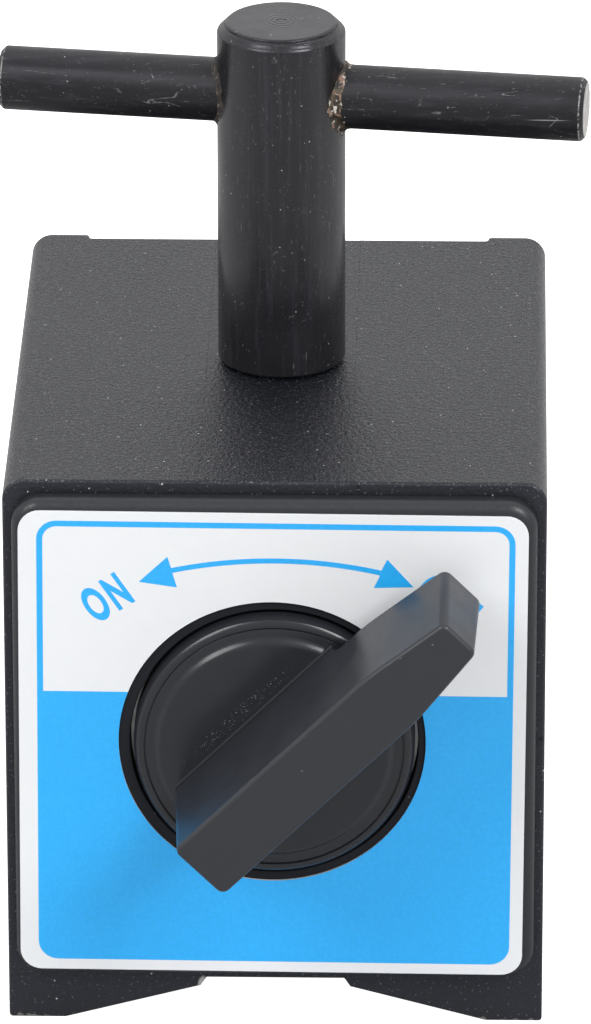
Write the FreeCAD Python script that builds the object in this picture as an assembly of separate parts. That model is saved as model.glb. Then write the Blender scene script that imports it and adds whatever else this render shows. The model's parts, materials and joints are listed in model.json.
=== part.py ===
"""Switchable magnetic base with a lever knob, a post and a cross bar.

Millimetres. X runs to the right, Y to the back and Z up, as seen from the knob.
The origin lies on the resting plane, below the middle of the body's front and rear faces.
"""
import os
from math import asin, cos, degrees, radians, sin, sqrt, tan

import FreeCAD
import Part

V = FreeCAD.Vector
X_AXIS = V(1, 0, 0)
Y_AXIS = V(0, 1, 0)
Z_AXIS = V(0, 0, 1)
FORWARD = V(0, -1, 0)
BACKWARD = V(0, 1, 0)

# Body of two steel poles round the bore
BODY_DEPTH = 60.0
BORE_RADIUS = 15.5
SIDE_WALL = 9.5
TOP_WALL = 9.75
BOTTOM_WALL = 10.0
TOP_EDGE_RADIUS = 2.0
END_CHAMFER = 0.4
FOOT_WIDTH = 5.3
V_SLOPE = 15.0
SLOT_WIDTH = 12.9
SLOT_DEPTH = 0.847
SLOT_STEP_WIDTH = 0.55
SEPARATOR_WIDTH = 14.0

# Rear face: a recess between two rails
RAIL_WIDTH = 5.6
REAR_RECESS_DEPTH = 0.9
REAR_RAIL_HEIGHT = 0.2

# Front cover, label and the screws under the label
COVER_SIDE_MARGIN = 0.85
COVER_TOP_MARGIN = 1.2
COVER_SLOT_MARGIN = 1.15
COVER_THICKNESS = 2.0
COVER_CORNER_RADIUS = 2.75
COVER_EDGE_RADIUS = 0.7
COVER_SCREW_INSET = 4.2
COVER_SCREW_RADIUS = 1.5
COVER_SCREW_LENGTH = 9.0
LABEL_SIDE_MARGIN = 0.75
LABEL_END_MARGIN = 0.85
LABEL_THICKNESS = 0.2
LABEL_CORNER_RADIUS = 2.0
LABEL_HOLE_MARGIN = 0.9
LABEL_OFFSET = -0.2
LABEL_SKEW = 0.35

# Rear cover
REAR_COVER_CLEARANCE = 0.3
REAR_COVER_LAND = 7.5
REAR_COVER_THICKNESS = 0.8
REAR_COVER_CORNER_RADIUS = 3.0
REAR_SCREW_INSET = 4.1
REAR_SCREW_RADIUS = 1.25
REAR_SCREW_LENGTH = 8.0

# Bearing plates, bushes, washers, seal and stop pin
BEARING_PLATE_THICKNESS = 4.0
FRONT_JOURNAL_RADIUS = 6.0
REAR_JOURNAL_RADIUS = 4.0
BUSH_WALL = 1.45
SEAL_SECTION = 1.5
SEAL_CORNER = 0.3
WASHER_THICKNESS = 0.6
WASHER_BAND = 4.0
STOP_PIN_RADIUS = 1.25
STOP_PIN_LAND = 0.8
STOP_PIN_ANGLE = 270.0
STOP_PIN_SEAT = 3.0
STOP_GROOVE_DEPTH = 1.7
KNOB_TRAVEL = 90.0

# Rotor
SPINDLE_FLANGE = 4.0
MAGNET_EDGE_GAP = 2.2
MAGNET_THICKNESS = 10.0
ROTOR_SCREW_RADIUS = 1.5
ROTOR_SCREW_LENGTH = 11.0
SQUARE_STEP = 0.74
SQUARE_LENGTH = 2.3
KNOB_SCREW_RADIUS = 1.5
KNOB_SCREW_REACH = 7.0
KNOB_SCREW_HEAD_RADIUS = 2.8
KNOB_SCREW_HEAD_HEIGHT = 1.8

# Knob: a stepped disc and a drafted handle across it
KNOB_RIM = 1.85
KNOB_PROUD = 1.2
KNOB_SHOULDER_RADIUS = 0.85
KNOB_GROOVE_INSET = 1.0
KNOB_GROOVE_WIDTH = 0.25
KNOB_GROOVE_DEPTH = 0.4
KNOB_FACE_PROUD = 0.35
KNOB_FACE_ROUND = 0.6
HANDLE_ANGLE = 45.0
HANDLE_TIP = 24.3
HANDLE_BEND = 15.5
HANDLE_TAIL = 9.4
HANDLE_WIDTH = 6.4
HANDLE_TIP_WIDTH = 4.2
HANDLE_HEIGHT = 14.5
HANDLE_DRAFT = 1.8
HANDLE_CORNER_RADIUS = 0.8
HANDLE_EDGE_RADIUS = 0.3
HANDLE_TIP_CLEARANCE = 3.5
HANDLE_NECK_INSET = 0.1
HANDLE_NECK_RADIUS = 1.5

# Post, stud and cross bar
POST_RADIUS = 6.0
POST_LENGTH = 33.75
POST_CHAMFER = 0.95
POST_FOOT_CHAMFER = 0.3
CENTRE_MARK_RADIUS = 0.55
STUD_RADIUS = 4.0
STUD_END_CHAMFER = 0.5
STUD_HOLE_FLOOR = 1.35
POST_TAPPING_DEPTH = 10.0
BAR_RADIUS = 3.0
BAR_LENGTH = 55.4
BAR_OFFSET = 1.0
BAR_DROP = 7.15
BAR_TURN = -7.72
BAR_CHAMFER = 0.4
BEAD_RIGHT_LENGTH = 1.5
BEAD_LEFT_LENGTH = 0.9
BEAD_RISE = 1.1
BEAD_EDGE = 0.08

# Screw heads as parts of the shank's radius, and sockets as parts of the head
COUNTERSINK = 1.85
FLAT_HEAD_SOCKET = 0.62
FLAT_HEAD_SOCKET_DEPTH = 0.8
ROUND_HEAD_SOCKET = 0.5
ROUND_HEAD_SOCKET_DEPTH = 0.6

# How far a cutting shape runs past the face it opens, and how close counts as on a face
PAST = 1.0
TINY = 1e-3

# Clearances
FIT_CLEARANCE = 0.02
THREAD_CLEARANCE = 0.05
SCREW_CLEARANCE = 0.05
RUNNING_CLEARANCE = 0.05
ROTOR_GAP = 0.3
END_FLOAT = 0.2
STOP_CLEARANCE = 0.1
SOCKET_CLEARANCE = 0.05
STUD_END_GAP = 0.6

# Sizes and places that follow from the values above
BODY_WIDTH = 2 * (BORE_RADIUS + SIDE_WALL)
SLOT_EDGE = SLOT_WIDTH / 2 + SLOT_STEP_WIDTH
FOOT_EDGE = BODY_WIDTH / 2 - FOOT_WIDTH
V_HEIGHT = (FOOT_EDGE - SLOT_EDGE) * tan(radians(V_SLOPE))
SLOT_HEIGHT = V_HEIGHT + SLOT_DEPTH
BORE_HEIGHT = SLOT_HEIGHT + BOTTOM_WALL + BORE_RADIUS
BODY_HEIGHT = BORE_HEIGHT + BORE_RADIUS + TOP_WALL
BORE_CENTRE = V(0, 0, BORE_HEIGHT)
FRONT_FACE = -BODY_DEPTH / 2
REAR_FACE = BODY_DEPTH / 2 + REAR_RAIL_HEIGHT
REAR_FLOOR = REAR_FACE - REAR_RECESS_DEPTH
REAR_RECESS_WIDTH = BODY_WIDTH - 2 * RAIL_WIDTH
REAR_COVER_WIDTH = REAR_RECESS_WIDTH - 2 * REAR_COVER_CLEARANCE
REAR_COVER_HEIGHT = 2 * (BORE_RADIUS + REAR_COVER_LAND)
COVER_WIDTH = BODY_WIDTH - 2 * COVER_SIDE_MARGIN
COVER_BOTTOM = SLOT_HEIGHT + COVER_SLOT_MARGIN
COVER_HEIGHT = BODY_HEIGHT - COVER_TOP_MARGIN - COVER_BOTTOM
COVER_MIDDLE = COVER_BOTTOM + COVER_HEIGHT / 2
COVER_FACE = FRONT_FACE - COVER_THICKNESS
LABEL_WIDTH = COVER_WIDTH - 2 * LABEL_SIDE_MARGIN
LABEL_HEIGHT = COVER_HEIGHT - 2 * LABEL_END_MARGIN
LABEL_FACE = COVER_FACE - LABEL_THICKNESS
FRONT_PLATE_BACK = FRONT_FACE + BEARING_PLATE_THICKNESS
REAR_PLATE_FRONT = REAR_FLOOR - BEARING_PLATE_THICKNESS
ROTOR_RADIUS = BORE_RADIUS - ROTOR_GAP
ROTOR_FRONT = FRONT_PLATE_BACK + WASHER_THICKNESS + END_FLOAT
ROTOR_REAR = REAR_PLATE_FRONT - WASHER_THICKNESS - END_FLOAT
CORE_FRONT = ROTOR_FRONT + SPINDLE_FLANGE
CORE_REAR = ROTOR_REAR - SPINDLE_FLANGE
CORE_MIDDLE = (CORE_FRONT + CORE_REAR) / 2
MAGNET_WIDTH = 2 * (ROTOR_RADIUS - MAGNET_EDGE_GAP)
ROTOR_SCREW_ORBIT = (MAGNET_THICKNESS / 2 + ROTOR_RADIUS) / 2
SQUARE_SIZE = 2 * (FRONT_JOURNAL_RADIUS / sqrt(2) - SQUARE_STEP)
SEAL_INNER = FRONT_JOURNAL_RADIUS + RUNNING_CLEARANCE
SEAL_OUTER = SEAL_INNER + SEAL_SECTION
SEAL_SEAT_FLOOR = FRONT_FACE + SEAL_SECTION + RUNNING_CLEARANCE
STOP_PIN_ORBIT = SEAL_OUTER + STOP_PIN_LAND + STOP_PIN_RADIUS
KNOB_RADIUS = STOP_PIN_ORBIT + STOP_PIN_RADIUS + ROTOR_GAP + KNOB_RIM
KNOB_BACK = FRONT_FACE - ROTOR_GAP
KNOB_FLANGE_FACE = COVER_FACE - KNOB_PROUD
KNOB_FACE = KNOB_FLANGE_FACE - KNOB_FACE_PROUD
GROOVE_OUTER = KNOB_RADIUS - KNOB_GROOVE_INSET + KNOB_GROOVE_WIDTH / 2
GROOVE_INNER = KNOB_RADIUS - KNOB_GROOVE_INSET - KNOB_GROOVE_WIDTH / 2
HANDLE_NECK = GROOVE_INNER - KNOB_FACE_ROUND - HANDLE_NECK_INSET
HANDLE_FACE = COVER_FACE - HANDLE_HEIGHT
LABEL_HOLE_RADIUS = KNOB_RADIUS + ROTOR_GAP + LABEL_HOLE_MARGIN
POST_TOP = BODY_HEIGHT + POST_LENGTH
STUD_HOLE_DEPTH = TOP_WALL - STUD_HOLE_FLOOR
BAR_AXIS_HEIGHT = POST_TOP - BAR_DROP
BAR_DIRECTION = V(cos(radians(BAR_TURN)), sin(radians(BAR_TURN)), 0)


def box(x0, x1, y0, y1, z0, z1):
    """A box between two corners."""
    return Part.makeBox(x1 - x0, y1 - y0, z1 - z0, V(x0, y0, z0))


def rod(radius, y0, y1, x=0.0, z=BORE_HEIGHT):
    """A cylinder along Y, by default on the bore's axis."""
    return Part.makeCylinder(radius, y1 - y0, V(x, y0, z), Y_AXIS)


def ring(outer, inner, y0, y1):
    """A ring on the bore's axis."""
    return rod(outer, y0, y1).cut(rod(inner, y0, y1))


def rounded_plate(width, height, corner, y0, y1, x=0.0, z=0.0):
    """A plate that faces along Y, with rounded corners, centred on x and z."""
    plate = box(x - width / 2, x + width / 2, y0, y1, z - height / 2, z + height / 2)
    corners = [edge for edge in plate.Edges if abs(edge.tangentAt(edge.FirstParameter).y) > 0.9]
    return plate.makeFillet(corner, corners)


def placed(shape, point, direction):
    """A shape drawn along +Z from the origin, turned along a direction and moved to a point."""
    result = shape.copy()
    result.Placement = FreeCAD.Placement(point, FreeCAD.Rotation(Z_AXIS, direction))
    return result


def on_axis(angle, orbit, y):
    """A point round the bore's axis, at an angle seen from the front."""
    return V(orbit * cos(radians(angle)), y, BORE_HEIGHT + orbit * sin(radians(angle)))


def countersunk(radius, length, clearance=0.0):
    """A countersunk screw that points down from its head at the origin, or the hole for one."""
    head = COUNTERSINK * radius
    depth = head - radius
    shank = Part.makeCylinder(radius + clearance, length + clearance, V(0, 0, -length - clearance), Z_AXIS)
    cone = Part.makeCone(radius + clearance, head + clearance, depth, V(0, 0, -depth), Z_AXIS)
    screw = shank.fuse(cone).removeSplitter()
    if clearance:
        return screw
    return screw.cut(hex_socket(FLAT_HEAD_SOCKET * radius, FLAT_HEAD_SOCKET_DEPTH * depth))


def hex_socket(radius, depth):
    """The six-sided recess in a screw's head."""
    points = [V(radius * cos(radians(60 * i)), radius * sin(radians(60 * i)), 0) for i in range(7)]
    return Part.Face(Part.makePolygon(points)).extrude(V(0, 0, -depth))


def corner_points(width, height, inset, y, middle):
    """Points a given inset from a plate's four corners."""
    across, up = width / 2 - inset, height / 2 - inset
    return [V(sx * across, y, middle + sz * up) for sx, sz in [(-1, -1), (1, -1), (1, 1), (-1, 1)]]


def screw_set(radius, length, points, direction, clearance=0.0):
    """Like screws at several points, each with its head facing a direction."""
    return [placed(countersunk(radius, length, clearance), point, direction) for point in points]


# Body

def body_outline():
    """Half of the body's end outline, from the slot's edge round the foot to the top's middle."""
    half = BODY_WIDTH / 2
    shoulder = TOP_EDGE_RADIUS * (1 - 1 / sqrt(2))
    points = [V(0, 0, SLOT_HEIGHT), V(SLOT_WIDTH / 2, 0, SLOT_HEIGHT), V(SLOT_EDGE, 0, V_HEIGHT),
              V(FOOT_EDGE, 0, 0), V(half, 0, 0), V(half, 0, BODY_HEIGHT - TOP_EDGE_RADIUS)]
    edges = [Part.LineSegment(a, b).toShape() for a, b in zip(points, points[1:])]
    crown = V(half - TOP_EDGE_RADIUS, 0, BODY_HEIGHT)
    bend = V(half - shoulder, 0, BODY_HEIGHT - shoulder)
    edges.append(Part.Arc(points[-1], bend, crown).toShape())
    middle = V(0, 0, BODY_HEIGHT)
    edges.append(Part.LineSegment(crown, middle).toShape())
    edges.append(Part.LineSegment(middle, points[0]).toShape())
    return Part.Wire(edges)


def right_half():
    """The right half of the body's block, with its front and rear ends chamfered and recessed."""
    block = Part.Face(body_outline()).extrude(V(0, REAR_FACE - FRONT_FACE, 0))
    block.translate(V(0, FRONT_FACE, 0))
    outer = []
    for edge in block.Edges:
        bounds = edge.BoundBox
        on_end = bounds.YLength < TINY
        on_side = bounds.XMin > BODY_WIDTH / 2 - TOP_EDGE_RADIUS - TINY
        if on_end and on_side and bounds.ZMax > TINY:
            outer.append(edge)
    block = block.makeChamfer(END_CHAMFER, outer)
    recess = box(-PAST, REAR_RECESS_WIDTH / 2, REAR_FLOOR, REAR_FACE + PAST, -PAST, BODY_HEIGHT + PAST)
    return block.cut(recess)


def right_pole():
    """The steel pole right of the separators, with the bore and the screws' holes."""
    front, rear = FRONT_FACE - PAST, REAR_FACE + PAST
    pole = right_half()
    pole = pole.cut(box(-PAST, SLOT_WIDTH / 2, front, rear, -PAST, BORE_HEIGHT))
    pole = pole.cut(box(-PAST, SEPARATOR_WIDTH / 2, front, rear, BORE_HEIGHT, BODY_HEIGHT + PAST))
    pole = pole.cut(rod(BORE_RADIUS, front, rear))
    holes = front_cover_screws(SCREW_CLEARANCE) + rear_cover_screws(SCREW_CLEARANCE)
    return pole.cut([hole for hole in holes if hole.BoundBox.XMin > 0])


def left_pole():
    """The left pole, the mirror of the right one."""
    return right_pole().mirror(V(0, 0, 0), X_AXIS)


def top_separator():
    """The non-magnetic bar between the poles above the bore, tapped for the post's stud."""
    half = SEPARATOR_WIDTH / 2
    bar = box(-half, half, FRONT_FACE, REAR_FLOOR, BORE_HEIGHT, BODY_HEIGHT)
    bar = bar.cut(rod(BORE_RADIUS, FRONT_FACE - PAST, REAR_FACE + PAST))
    floor = V(0, 0, BODY_HEIGHT - STUD_HOLE_DEPTH)
    return bar.cut(Part.makeCylinder(STUD_RADIUS + THREAD_CLEARANCE, STUD_HOLE_DEPTH, floor))


def bottom_separator():
    """The non-magnetic bar between the poles under the bore, which closes the slot."""
    half = SLOT_WIDTH / 2
    bar = box(-half, half, FRONT_FACE, REAR_FLOOR, SLOT_HEIGHT, BORE_HEIGHT)
    return bar.cut(rod(BORE_RADIUS, FRONT_FACE - PAST, REAR_FACE + PAST))


# Covers

def front_cover():
    """The moulded cover plate with a rounded front edge and the hole for the knob's disc."""
    plate = rounded_plate(COVER_WIDTH, COVER_HEIGHT, COVER_CORNER_RADIUS, COVER_FACE, FRONT_FACE,
                          z=COVER_MIDDLE)
    rim = [edge for edge in plate.Edges if edge.BoundBox.YMax < COVER_FACE + TINY]
    plate = plate.makeFillet(COVER_EDGE_RADIUS, rim)
    plate = plate.cut(rod(KNOB_RADIUS + ROTOR_GAP, COVER_FACE - PAST, FRONT_FACE + PAST))
    return plate.cut(front_cover_screws(SCREW_CLEARANCE))


def front_label():
    """The thin label, stuck on slightly askew."""
    sheet = rounded_plate(LABEL_WIDTH, LABEL_HEIGHT, LABEL_CORNER_RADIUS, LABEL_FACE, COVER_FACE,
                          LABEL_OFFSET, COVER_MIDDLE)
    sheet.rotate(V(LABEL_OFFSET, 0, COVER_MIDDLE), Y_AXIS, LABEL_SKEW)
    return sheet.cut(rod(LABEL_HOLE_RADIUS, LABEL_FACE - PAST, COVER_FACE + PAST, x=LABEL_OFFSET))


def front_cover_screws(clearance=0.0):
    """The screws that hold the front cover, flush under the label, or the holes for them."""
    points = corner_points(COVER_WIDTH, COVER_HEIGHT, COVER_SCREW_INSET, COVER_FACE, COVER_MIDDLE)
    return screw_set(COVER_SCREW_RADIUS, COVER_SCREW_LENGTH, points, FORWARD, clearance)


def rear_cover():
    """The sheet cover in the recess of the rear face."""
    face = REAR_FLOOR + REAR_COVER_THICKNESS
    plate = rounded_plate(REAR_COVER_WIDTH, REAR_COVER_HEIGHT, REAR_COVER_CORNER_RADIUS, REAR_FLOOR, face,
                          z=BORE_HEIGHT)
    return plate.cut(rear_cover_screws(SCREW_CLEARANCE))


def rear_cover_screws(clearance=0.0):
    """The screws that hold the rear cover, flush with it, or the holes for them."""
    face = REAR_FLOOR + REAR_COVER_THICKNESS
    points = corner_points(REAR_COVER_WIDTH, REAR_COVER_HEIGHT, REAR_SCREW_INSET, face, BORE_HEIGHT)
    return screw_set(REAR_SCREW_RADIUS, REAR_SCREW_LENGTH, points, BACKWARD, clearance)


# Bearings and stop

def bush_outer(journal):
    """A bush's outer radius round a journal."""
    return journal + RUNNING_CLEARANCE + BUSH_WALL


def front_bearing_plate():
    """The plate in the bore's front mouth, with seats for bush, seal and stop pin."""
    plate = rod(BORE_RADIUS - FIT_CLEARANCE, FRONT_FACE, FRONT_PLATE_BACK)
    seat_radius = bush_outer(FRONT_JOURNAL_RADIUS) + FIT_CLEARANCE
    plate = plate.cut(rod(seat_radius, FRONT_FACE - PAST, FRONT_PLATE_BACK + PAST))
    plate = plate.cut(rod(SEAL_OUTER + FIT_CLEARANCE, FRONT_FACE - PAST, SEAL_SEAT_FLOOR))
    pin = on_axis(STOP_PIN_ANGLE, STOP_PIN_ORBIT, FRONT_FACE)
    return plate.cut(rod(STOP_PIN_RADIUS + FIT_CLEARANCE, pin.y - PAST, pin.y + STOP_PIN_SEAT, pin.x, pin.z))


def rear_bearing_plate():
    """The plate in the bore's rear mouth, held in by the rear cover."""
    plate = rod(BORE_RADIUS - FIT_CLEARANCE, REAR_PLATE_FRONT, REAR_FLOOR)
    seat_radius = bush_outer(REAR_JOURNAL_RADIUS) + FIT_CLEARANCE
    return plate.cut(rod(seat_radius, REAR_PLATE_FRONT - PAST, REAR_FLOOR + PAST))


def front_bush():
    """The bush that the front journal turns in, behind the seal."""
    return ring(bush_outer(FRONT_JOURNAL_RADIUS), FRONT_JOURNAL_RADIUS + RUNNING_CLEARANCE,
                SEAL_SEAT_FLOOR, FRONT_PLATE_BACK)


def rear_bush():
    """The bush that the rear journal turns in."""
    return ring(bush_outer(REAR_JOURNAL_RADIUS), REAR_JOURNAL_RADIUS + RUNNING_CLEARANCE,
                REAR_PLATE_FRONT, REAR_FLOOR)


def front_thrust_washer():
    """The washer between the front bearing plate and the rotor."""
    return ring(FRONT_JOURNAL_RADIUS + WASHER_BAND, FRONT_JOURNAL_RADIUS + ROTOR_GAP, FRONT_PLATE_BACK,
                FRONT_PLATE_BACK + WASHER_THICKNESS)


def rear_thrust_washer():
    """The washer between the rotor and the rear bearing plate."""
    return ring(REAR_JOURNAL_RADIUS + WASHER_BAND, REAR_JOURNAL_RADIUS + ROTOR_GAP,
                REAR_PLATE_FRONT - WASHER_THICKNESS, REAR_PLATE_FRONT)


def spindle_seal():
    """The square rubber ring round the spindle, in its seat behind the knob."""
    seal = ring(SEAL_OUTER, SEAL_INNER, SEAL_SEAT_FLOOR - SEAL_SECTION, SEAL_SEAT_FLOOR)
    rims = [edge for edge in seal.Edges if edge.Closed]
    return seal.makeChamfer(SEAL_CORNER, rims)


def stop_pin():
    """The pin that stands out of the front bearing plate into the knob's stop groove."""
    front = KNOB_BACK - STOP_GROOVE_DEPTH + ROTOR_GAP
    pin = on_axis(STOP_PIN_ANGLE, STOP_PIN_ORBIT, FRONT_FACE)
    return rod(STOP_PIN_RADIUS, front, pin.y + STOP_PIN_SEAT, pin.x, pin.z)


# Rotor

def rotor_screws(y, direction, clearance=0.0):
    """A flange's two screws, one over each steel segment, or the holes for them."""
    points = [on_axis(angle, ROTOR_SCREW_ORBIT, y) for angle in (90, 270)]
    return screw_set(ROTOR_SCREW_RADIUS, ROTOR_SCREW_LENGTH, points, direction, clearance)


def front_rotor_screws(clearance=0.0):
    """The screws that clamp the front flange to the segments."""
    return rotor_screws(ROTOR_FRONT, FORWARD, clearance)


def rear_rotor_screws(clearance=0.0):
    """The screws that clamp the rear flange to the segments."""
    return rotor_screws(ROTOR_REAR, BACKWARD, clearance)


def rotor_screw_holes():
    """The holes of the rotor's screws, at both ends."""
    return front_rotor_screws(SCREW_CLEARANCE) + rear_rotor_screws(SCREW_CLEARANCE)


def rotor_pole_upper():
    """The half-moon steel segment above the magnets while the base is off."""
    core = rod(ROTOR_RADIUS, CORE_FRONT, CORE_REAR)
    level = BORE_HEIGHT + MAGNET_THICKNESS / 2
    below = box(-ROTOR_RADIUS - PAST, ROTOR_RADIUS + PAST, CORE_FRONT - PAST, CORE_REAR + PAST, 0, level)
    return core.cut(below).cut(rotor_screw_holes())


def rotor_pole_lower():
    """The segment below the magnets."""
    return rotor_pole_upper().mirror(BORE_CENTRE, Z_AXIS)


def magnet(y0, y1):
    """A magnet block between the two segments."""
    half = MAGNET_WIDTH / 2
    return box(-half, half, y0, y1, BORE_HEIGHT - MAGNET_THICKNESS / 2, BORE_HEIGHT + MAGNET_THICKNESS / 2)


def magnet_front():
    """The block next to the knob."""
    return magnet(CORE_FRONT, CORE_MIDDLE)


def magnet_rear():
    """The block next to the rear cover."""
    return magnet(CORE_MIDDLE, CORE_REAR)


def square_prism(size, y0, y1):
    """A square bar on the bore's axis, turned with the handle."""
    bar = box(-size / 2, size / 2, y0, y1, BORE_HEIGHT - size / 2, BORE_HEIGHT + size / 2)
    bar.rotate(BORE_CENTRE, Y_AXIS, -HANDLE_ANGLE)
    return bar


def front_spindle():
    """The front flange with its journal, the square that drives it and the hole for the knob's screw."""
    flange = rod(ROTOR_RADIUS, ROTOR_FRONT, CORE_FRONT)
    journal = rod(FRONT_JOURNAL_RADIUS, KNOB_BACK, ROTOR_FRONT)
    square_end = KNOB_BACK - SQUARE_LENGTH
    spindle = flange.fuse(journal).fuse(square_prism(SQUARE_SIZE, square_end, KNOB_BACK))
    spindle = spindle.cut(rod(KNOB_SCREW_RADIUS + SCREW_CLEARANCE, square_end - PAST, CORE_FRONT + PAST))
    pocket = KNOB_SCREW_HEAD_HEIGHT + ROTOR_GAP
    spindle = spindle.cut(rod(KNOB_SCREW_HEAD_RADIUS + ROTOR_GAP, CORE_FRONT - pocket, CORE_FRONT + PAST))
    return spindle.cut(rotor_screw_holes())


def rear_spindle():
    """The rear flange with its journal."""
    flange = rod(ROTOR_RADIUS, CORE_REAR, ROTOR_REAR)
    journal = rod(REAR_JOURNAL_RADIUS, ROTOR_REAR, REAR_FLOOR - ROTOR_GAP)
    return flange.fuse(journal).cut(rotor_screw_holes())


def knob_screw():
    """The screw that pulls the knob onto the spindle from inside."""
    seat = CORE_FRONT - KNOB_SCREW_HEAD_HEIGHT - ROTOR_GAP
    head = rod(KNOB_SCREW_HEAD_RADIUS, seat, seat + KNOB_SCREW_HEAD_HEIGHT)
    shank = rod(KNOB_SCREW_RADIUS, KNOB_FACE - KNOB_SCREW_REACH, seat)
    socket = hex_socket(ROUND_HEAD_SOCKET * KNOB_SCREW_HEAD_RADIUS,
                        ROUND_HEAD_SOCKET_DEPTH * KNOB_SCREW_HEAD_HEIGHT)
    return head.fuse(shank).cut(placed(socket, V(0, seat + KNOB_SCREW_HEAD_HEIGHT, BORE_HEIGHT), BACKWARD))


# Knob

def knob_disc():
    """The turned form of the knob: a flange with a round shoulder, a fine groove and a raised face."""
    groove_floor = KNOB_FLANGE_FACE + KNOB_GROOVE_DEPTH
    shoulder = KNOB_SHOULDER_RADIUS
    corner = 1 - 1 / sqrt(2)
    points = [V(0, KNOB_BACK, 0), V(KNOB_RADIUS, KNOB_BACK, 0),
              V(KNOB_RADIUS, KNOB_FLANGE_FACE + shoulder, 0), V(KNOB_RADIUS - shoulder, KNOB_FLANGE_FACE, 0),
              V(GROOVE_OUTER, KNOB_FLANGE_FACE, 0), V(GROOVE_OUTER, groove_floor, 0),
              V(GROOVE_INNER, groove_floor, 0), V(GROOVE_INNER, KNOB_FACE + KNOB_FACE_ROUND, 0),
              V(GROOVE_INNER - KNOB_FACE_ROUND, KNOB_FACE, 0), V(0, KNOB_FACE, 0)]
    bends = {2: V(KNOB_RADIUS - corner * shoulder, KNOB_FLANGE_FACE + corner * shoulder, 0),
             7: V(GROOVE_INNER - corner * KNOB_FACE_ROUND, KNOB_FACE + corner * KNOB_FACE_ROUND, 0)}
    edges = []
    for i, (a, b) in enumerate(zip(points, points[1:] + points[:1])):
        curve = Part.Arc(a, bends[i], b) if i in bends else Part.LineSegment(a, b)
        edges.append(curve.toShape())
    disc = Part.Face(Part.Wire(edges)).revolve(V(0, 0, 0), Y_AXIS, 360)
    disc.translate(BORE_CENTRE)
    return disc


def spread(corners, distance):
    """The corners of a convex outline facing along Y, with every side moved out by a distance."""
    normals = []
    for here, ahead in zip(corners, corners[1:] + corners[:1]):
        along = ahead - here
        normals.append(V(along.z, 0, -along.x).normalize())
    moved = []
    for corner, before, after in zip(corners, normals[-1:] + normals[:-1], normals):
        moved.append(corner + (before + after) * (distance / (1 + before.dot(after))))
    return moved


def handle_corners(y):
    """The handle's outline at a depth: parallel sides that close in to the tip, leaning out to the disc."""
    wide, narrow = HANDLE_WIDTH / 2, HANDLE_TIP_WIDTH / 2
    upper = [V(-HANDLE_TAIL, y, wide), V(HANDLE_BEND, y, wide), V(HANDLE_TIP, y, narrow)]
    lower = [V(point.x, y, -point.z) for point in upper]
    return spread(lower + upper[::-1], (y - HANDLE_FACE) * tan(radians(HANDLE_DRAFT)))


def drafted_block(back, front):
    """A solid between two outlines of four corners whose sides are flat."""
    count = len(back)
    loops = [front, back[::-1]]
    for i in range(count):
        j = (i + 1) % count
        loops.append([back[i], back[j], front[j], front[i]])
    faces = [Part.Face(Part.makePolygon(loop + loop[:1])) for loop in loops]
    return Part.makeSolid(Part.makeShell(faces))


def handle():
    """The drafted handle, cut free of the cover beyond the disc."""
    root = KNOB_FLANGE_FACE + KNOB_SHOULDER_RADIUS
    blade = drafted_block(handle_corners(root), handle_corners(HANDLE_FACE))
    ends = []
    for edge in blade.Edges:
        x = edge.BoundBox.Center.x
        if edge.BoundBox.YLength > HANDLE_HEIGHT / 2 and (x < 0 or x > (HANDLE_BEND + HANDLE_TIP) / 2):
            ends.append(edge)
    blade = blade.makeFillet(HANDLE_CORNER_RADIUS, ends)
    rim = [edge for edge in blade.Edges if edge.BoundBox.YMax < HANDLE_FACE + TINY]
    blade = blade.makeFillet(HANDLE_EDGE_RADIUS, rim)
    reach = HANDLE_TIP + HANDLE_HEIGHT
    wide = HANDLE_WIDTH + HANDLE_HEIGHT
    under = COVER_FACE - HANDLE_TIP_CLEARANCE
    relief = box(HANDLE_NECK, reach, under, 0, -wide, wide)
    inner = [edge for edge in relief.Edges
             if edge.BoundBox.XMax < HANDLE_NECK + TINY and edge.BoundBox.YMax < under + TINY]
    relief = relief.makeFillet(HANDLE_NECK_RADIUS, inner)
    blade = blade.cut(relief)
    blade.rotate(V(0, 0, 0), Y_AXIS, -HANDLE_ANGLE)
    blade.translate(BORE_CENTRE)
    return blade


def sector(radius, y0, y1, start, sweep):
    """A slice of a cylinder on the bore's axis, from one angle counter-clockwise as seen from the front."""
    piece = Part.makeCylinder(radius, y1 - y0, V(0, 0, 0), Z_AXIS, sweep)
    piece.rotate(V(0, 0, 0), Z_AXIS, start)
    piece.rotate(V(0, 0, 0), X_AXIS, 90)
    piece.translate(V(0, y1, BORE_HEIGHT))
    return piece


def stop_groove():
    """The quarter-turn groove in the knob's back that the stop pin runs in."""
    half = STOP_PIN_RADIUS + ROTOR_GAP
    back, floor = KNOB_BACK + PAST, KNOB_BACK - STOP_GROOVE_DEPTH
    spare = degrees(2 * asin((ROTOR_GAP - STOP_CLEARANCE) / 2 / STOP_PIN_ORBIT))
    start, sweep = STOP_PIN_ANGLE - KNOB_TRAVEL + spare, KNOB_TRAVEL - 2 * spare
    band = sector(STOP_PIN_ORBIT + half, floor, back, start, sweep)
    band = band.cut(sector(STOP_PIN_ORBIT - half, floor - PAST, back + PAST, start - 1, sweep + 2))
    for angle in (start, start + sweep):
        end = on_axis(angle, STOP_PIN_ORBIT, 0)
        band = band.fuse(rod(half, floor, back, end.x, end.z))
    return band


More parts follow.
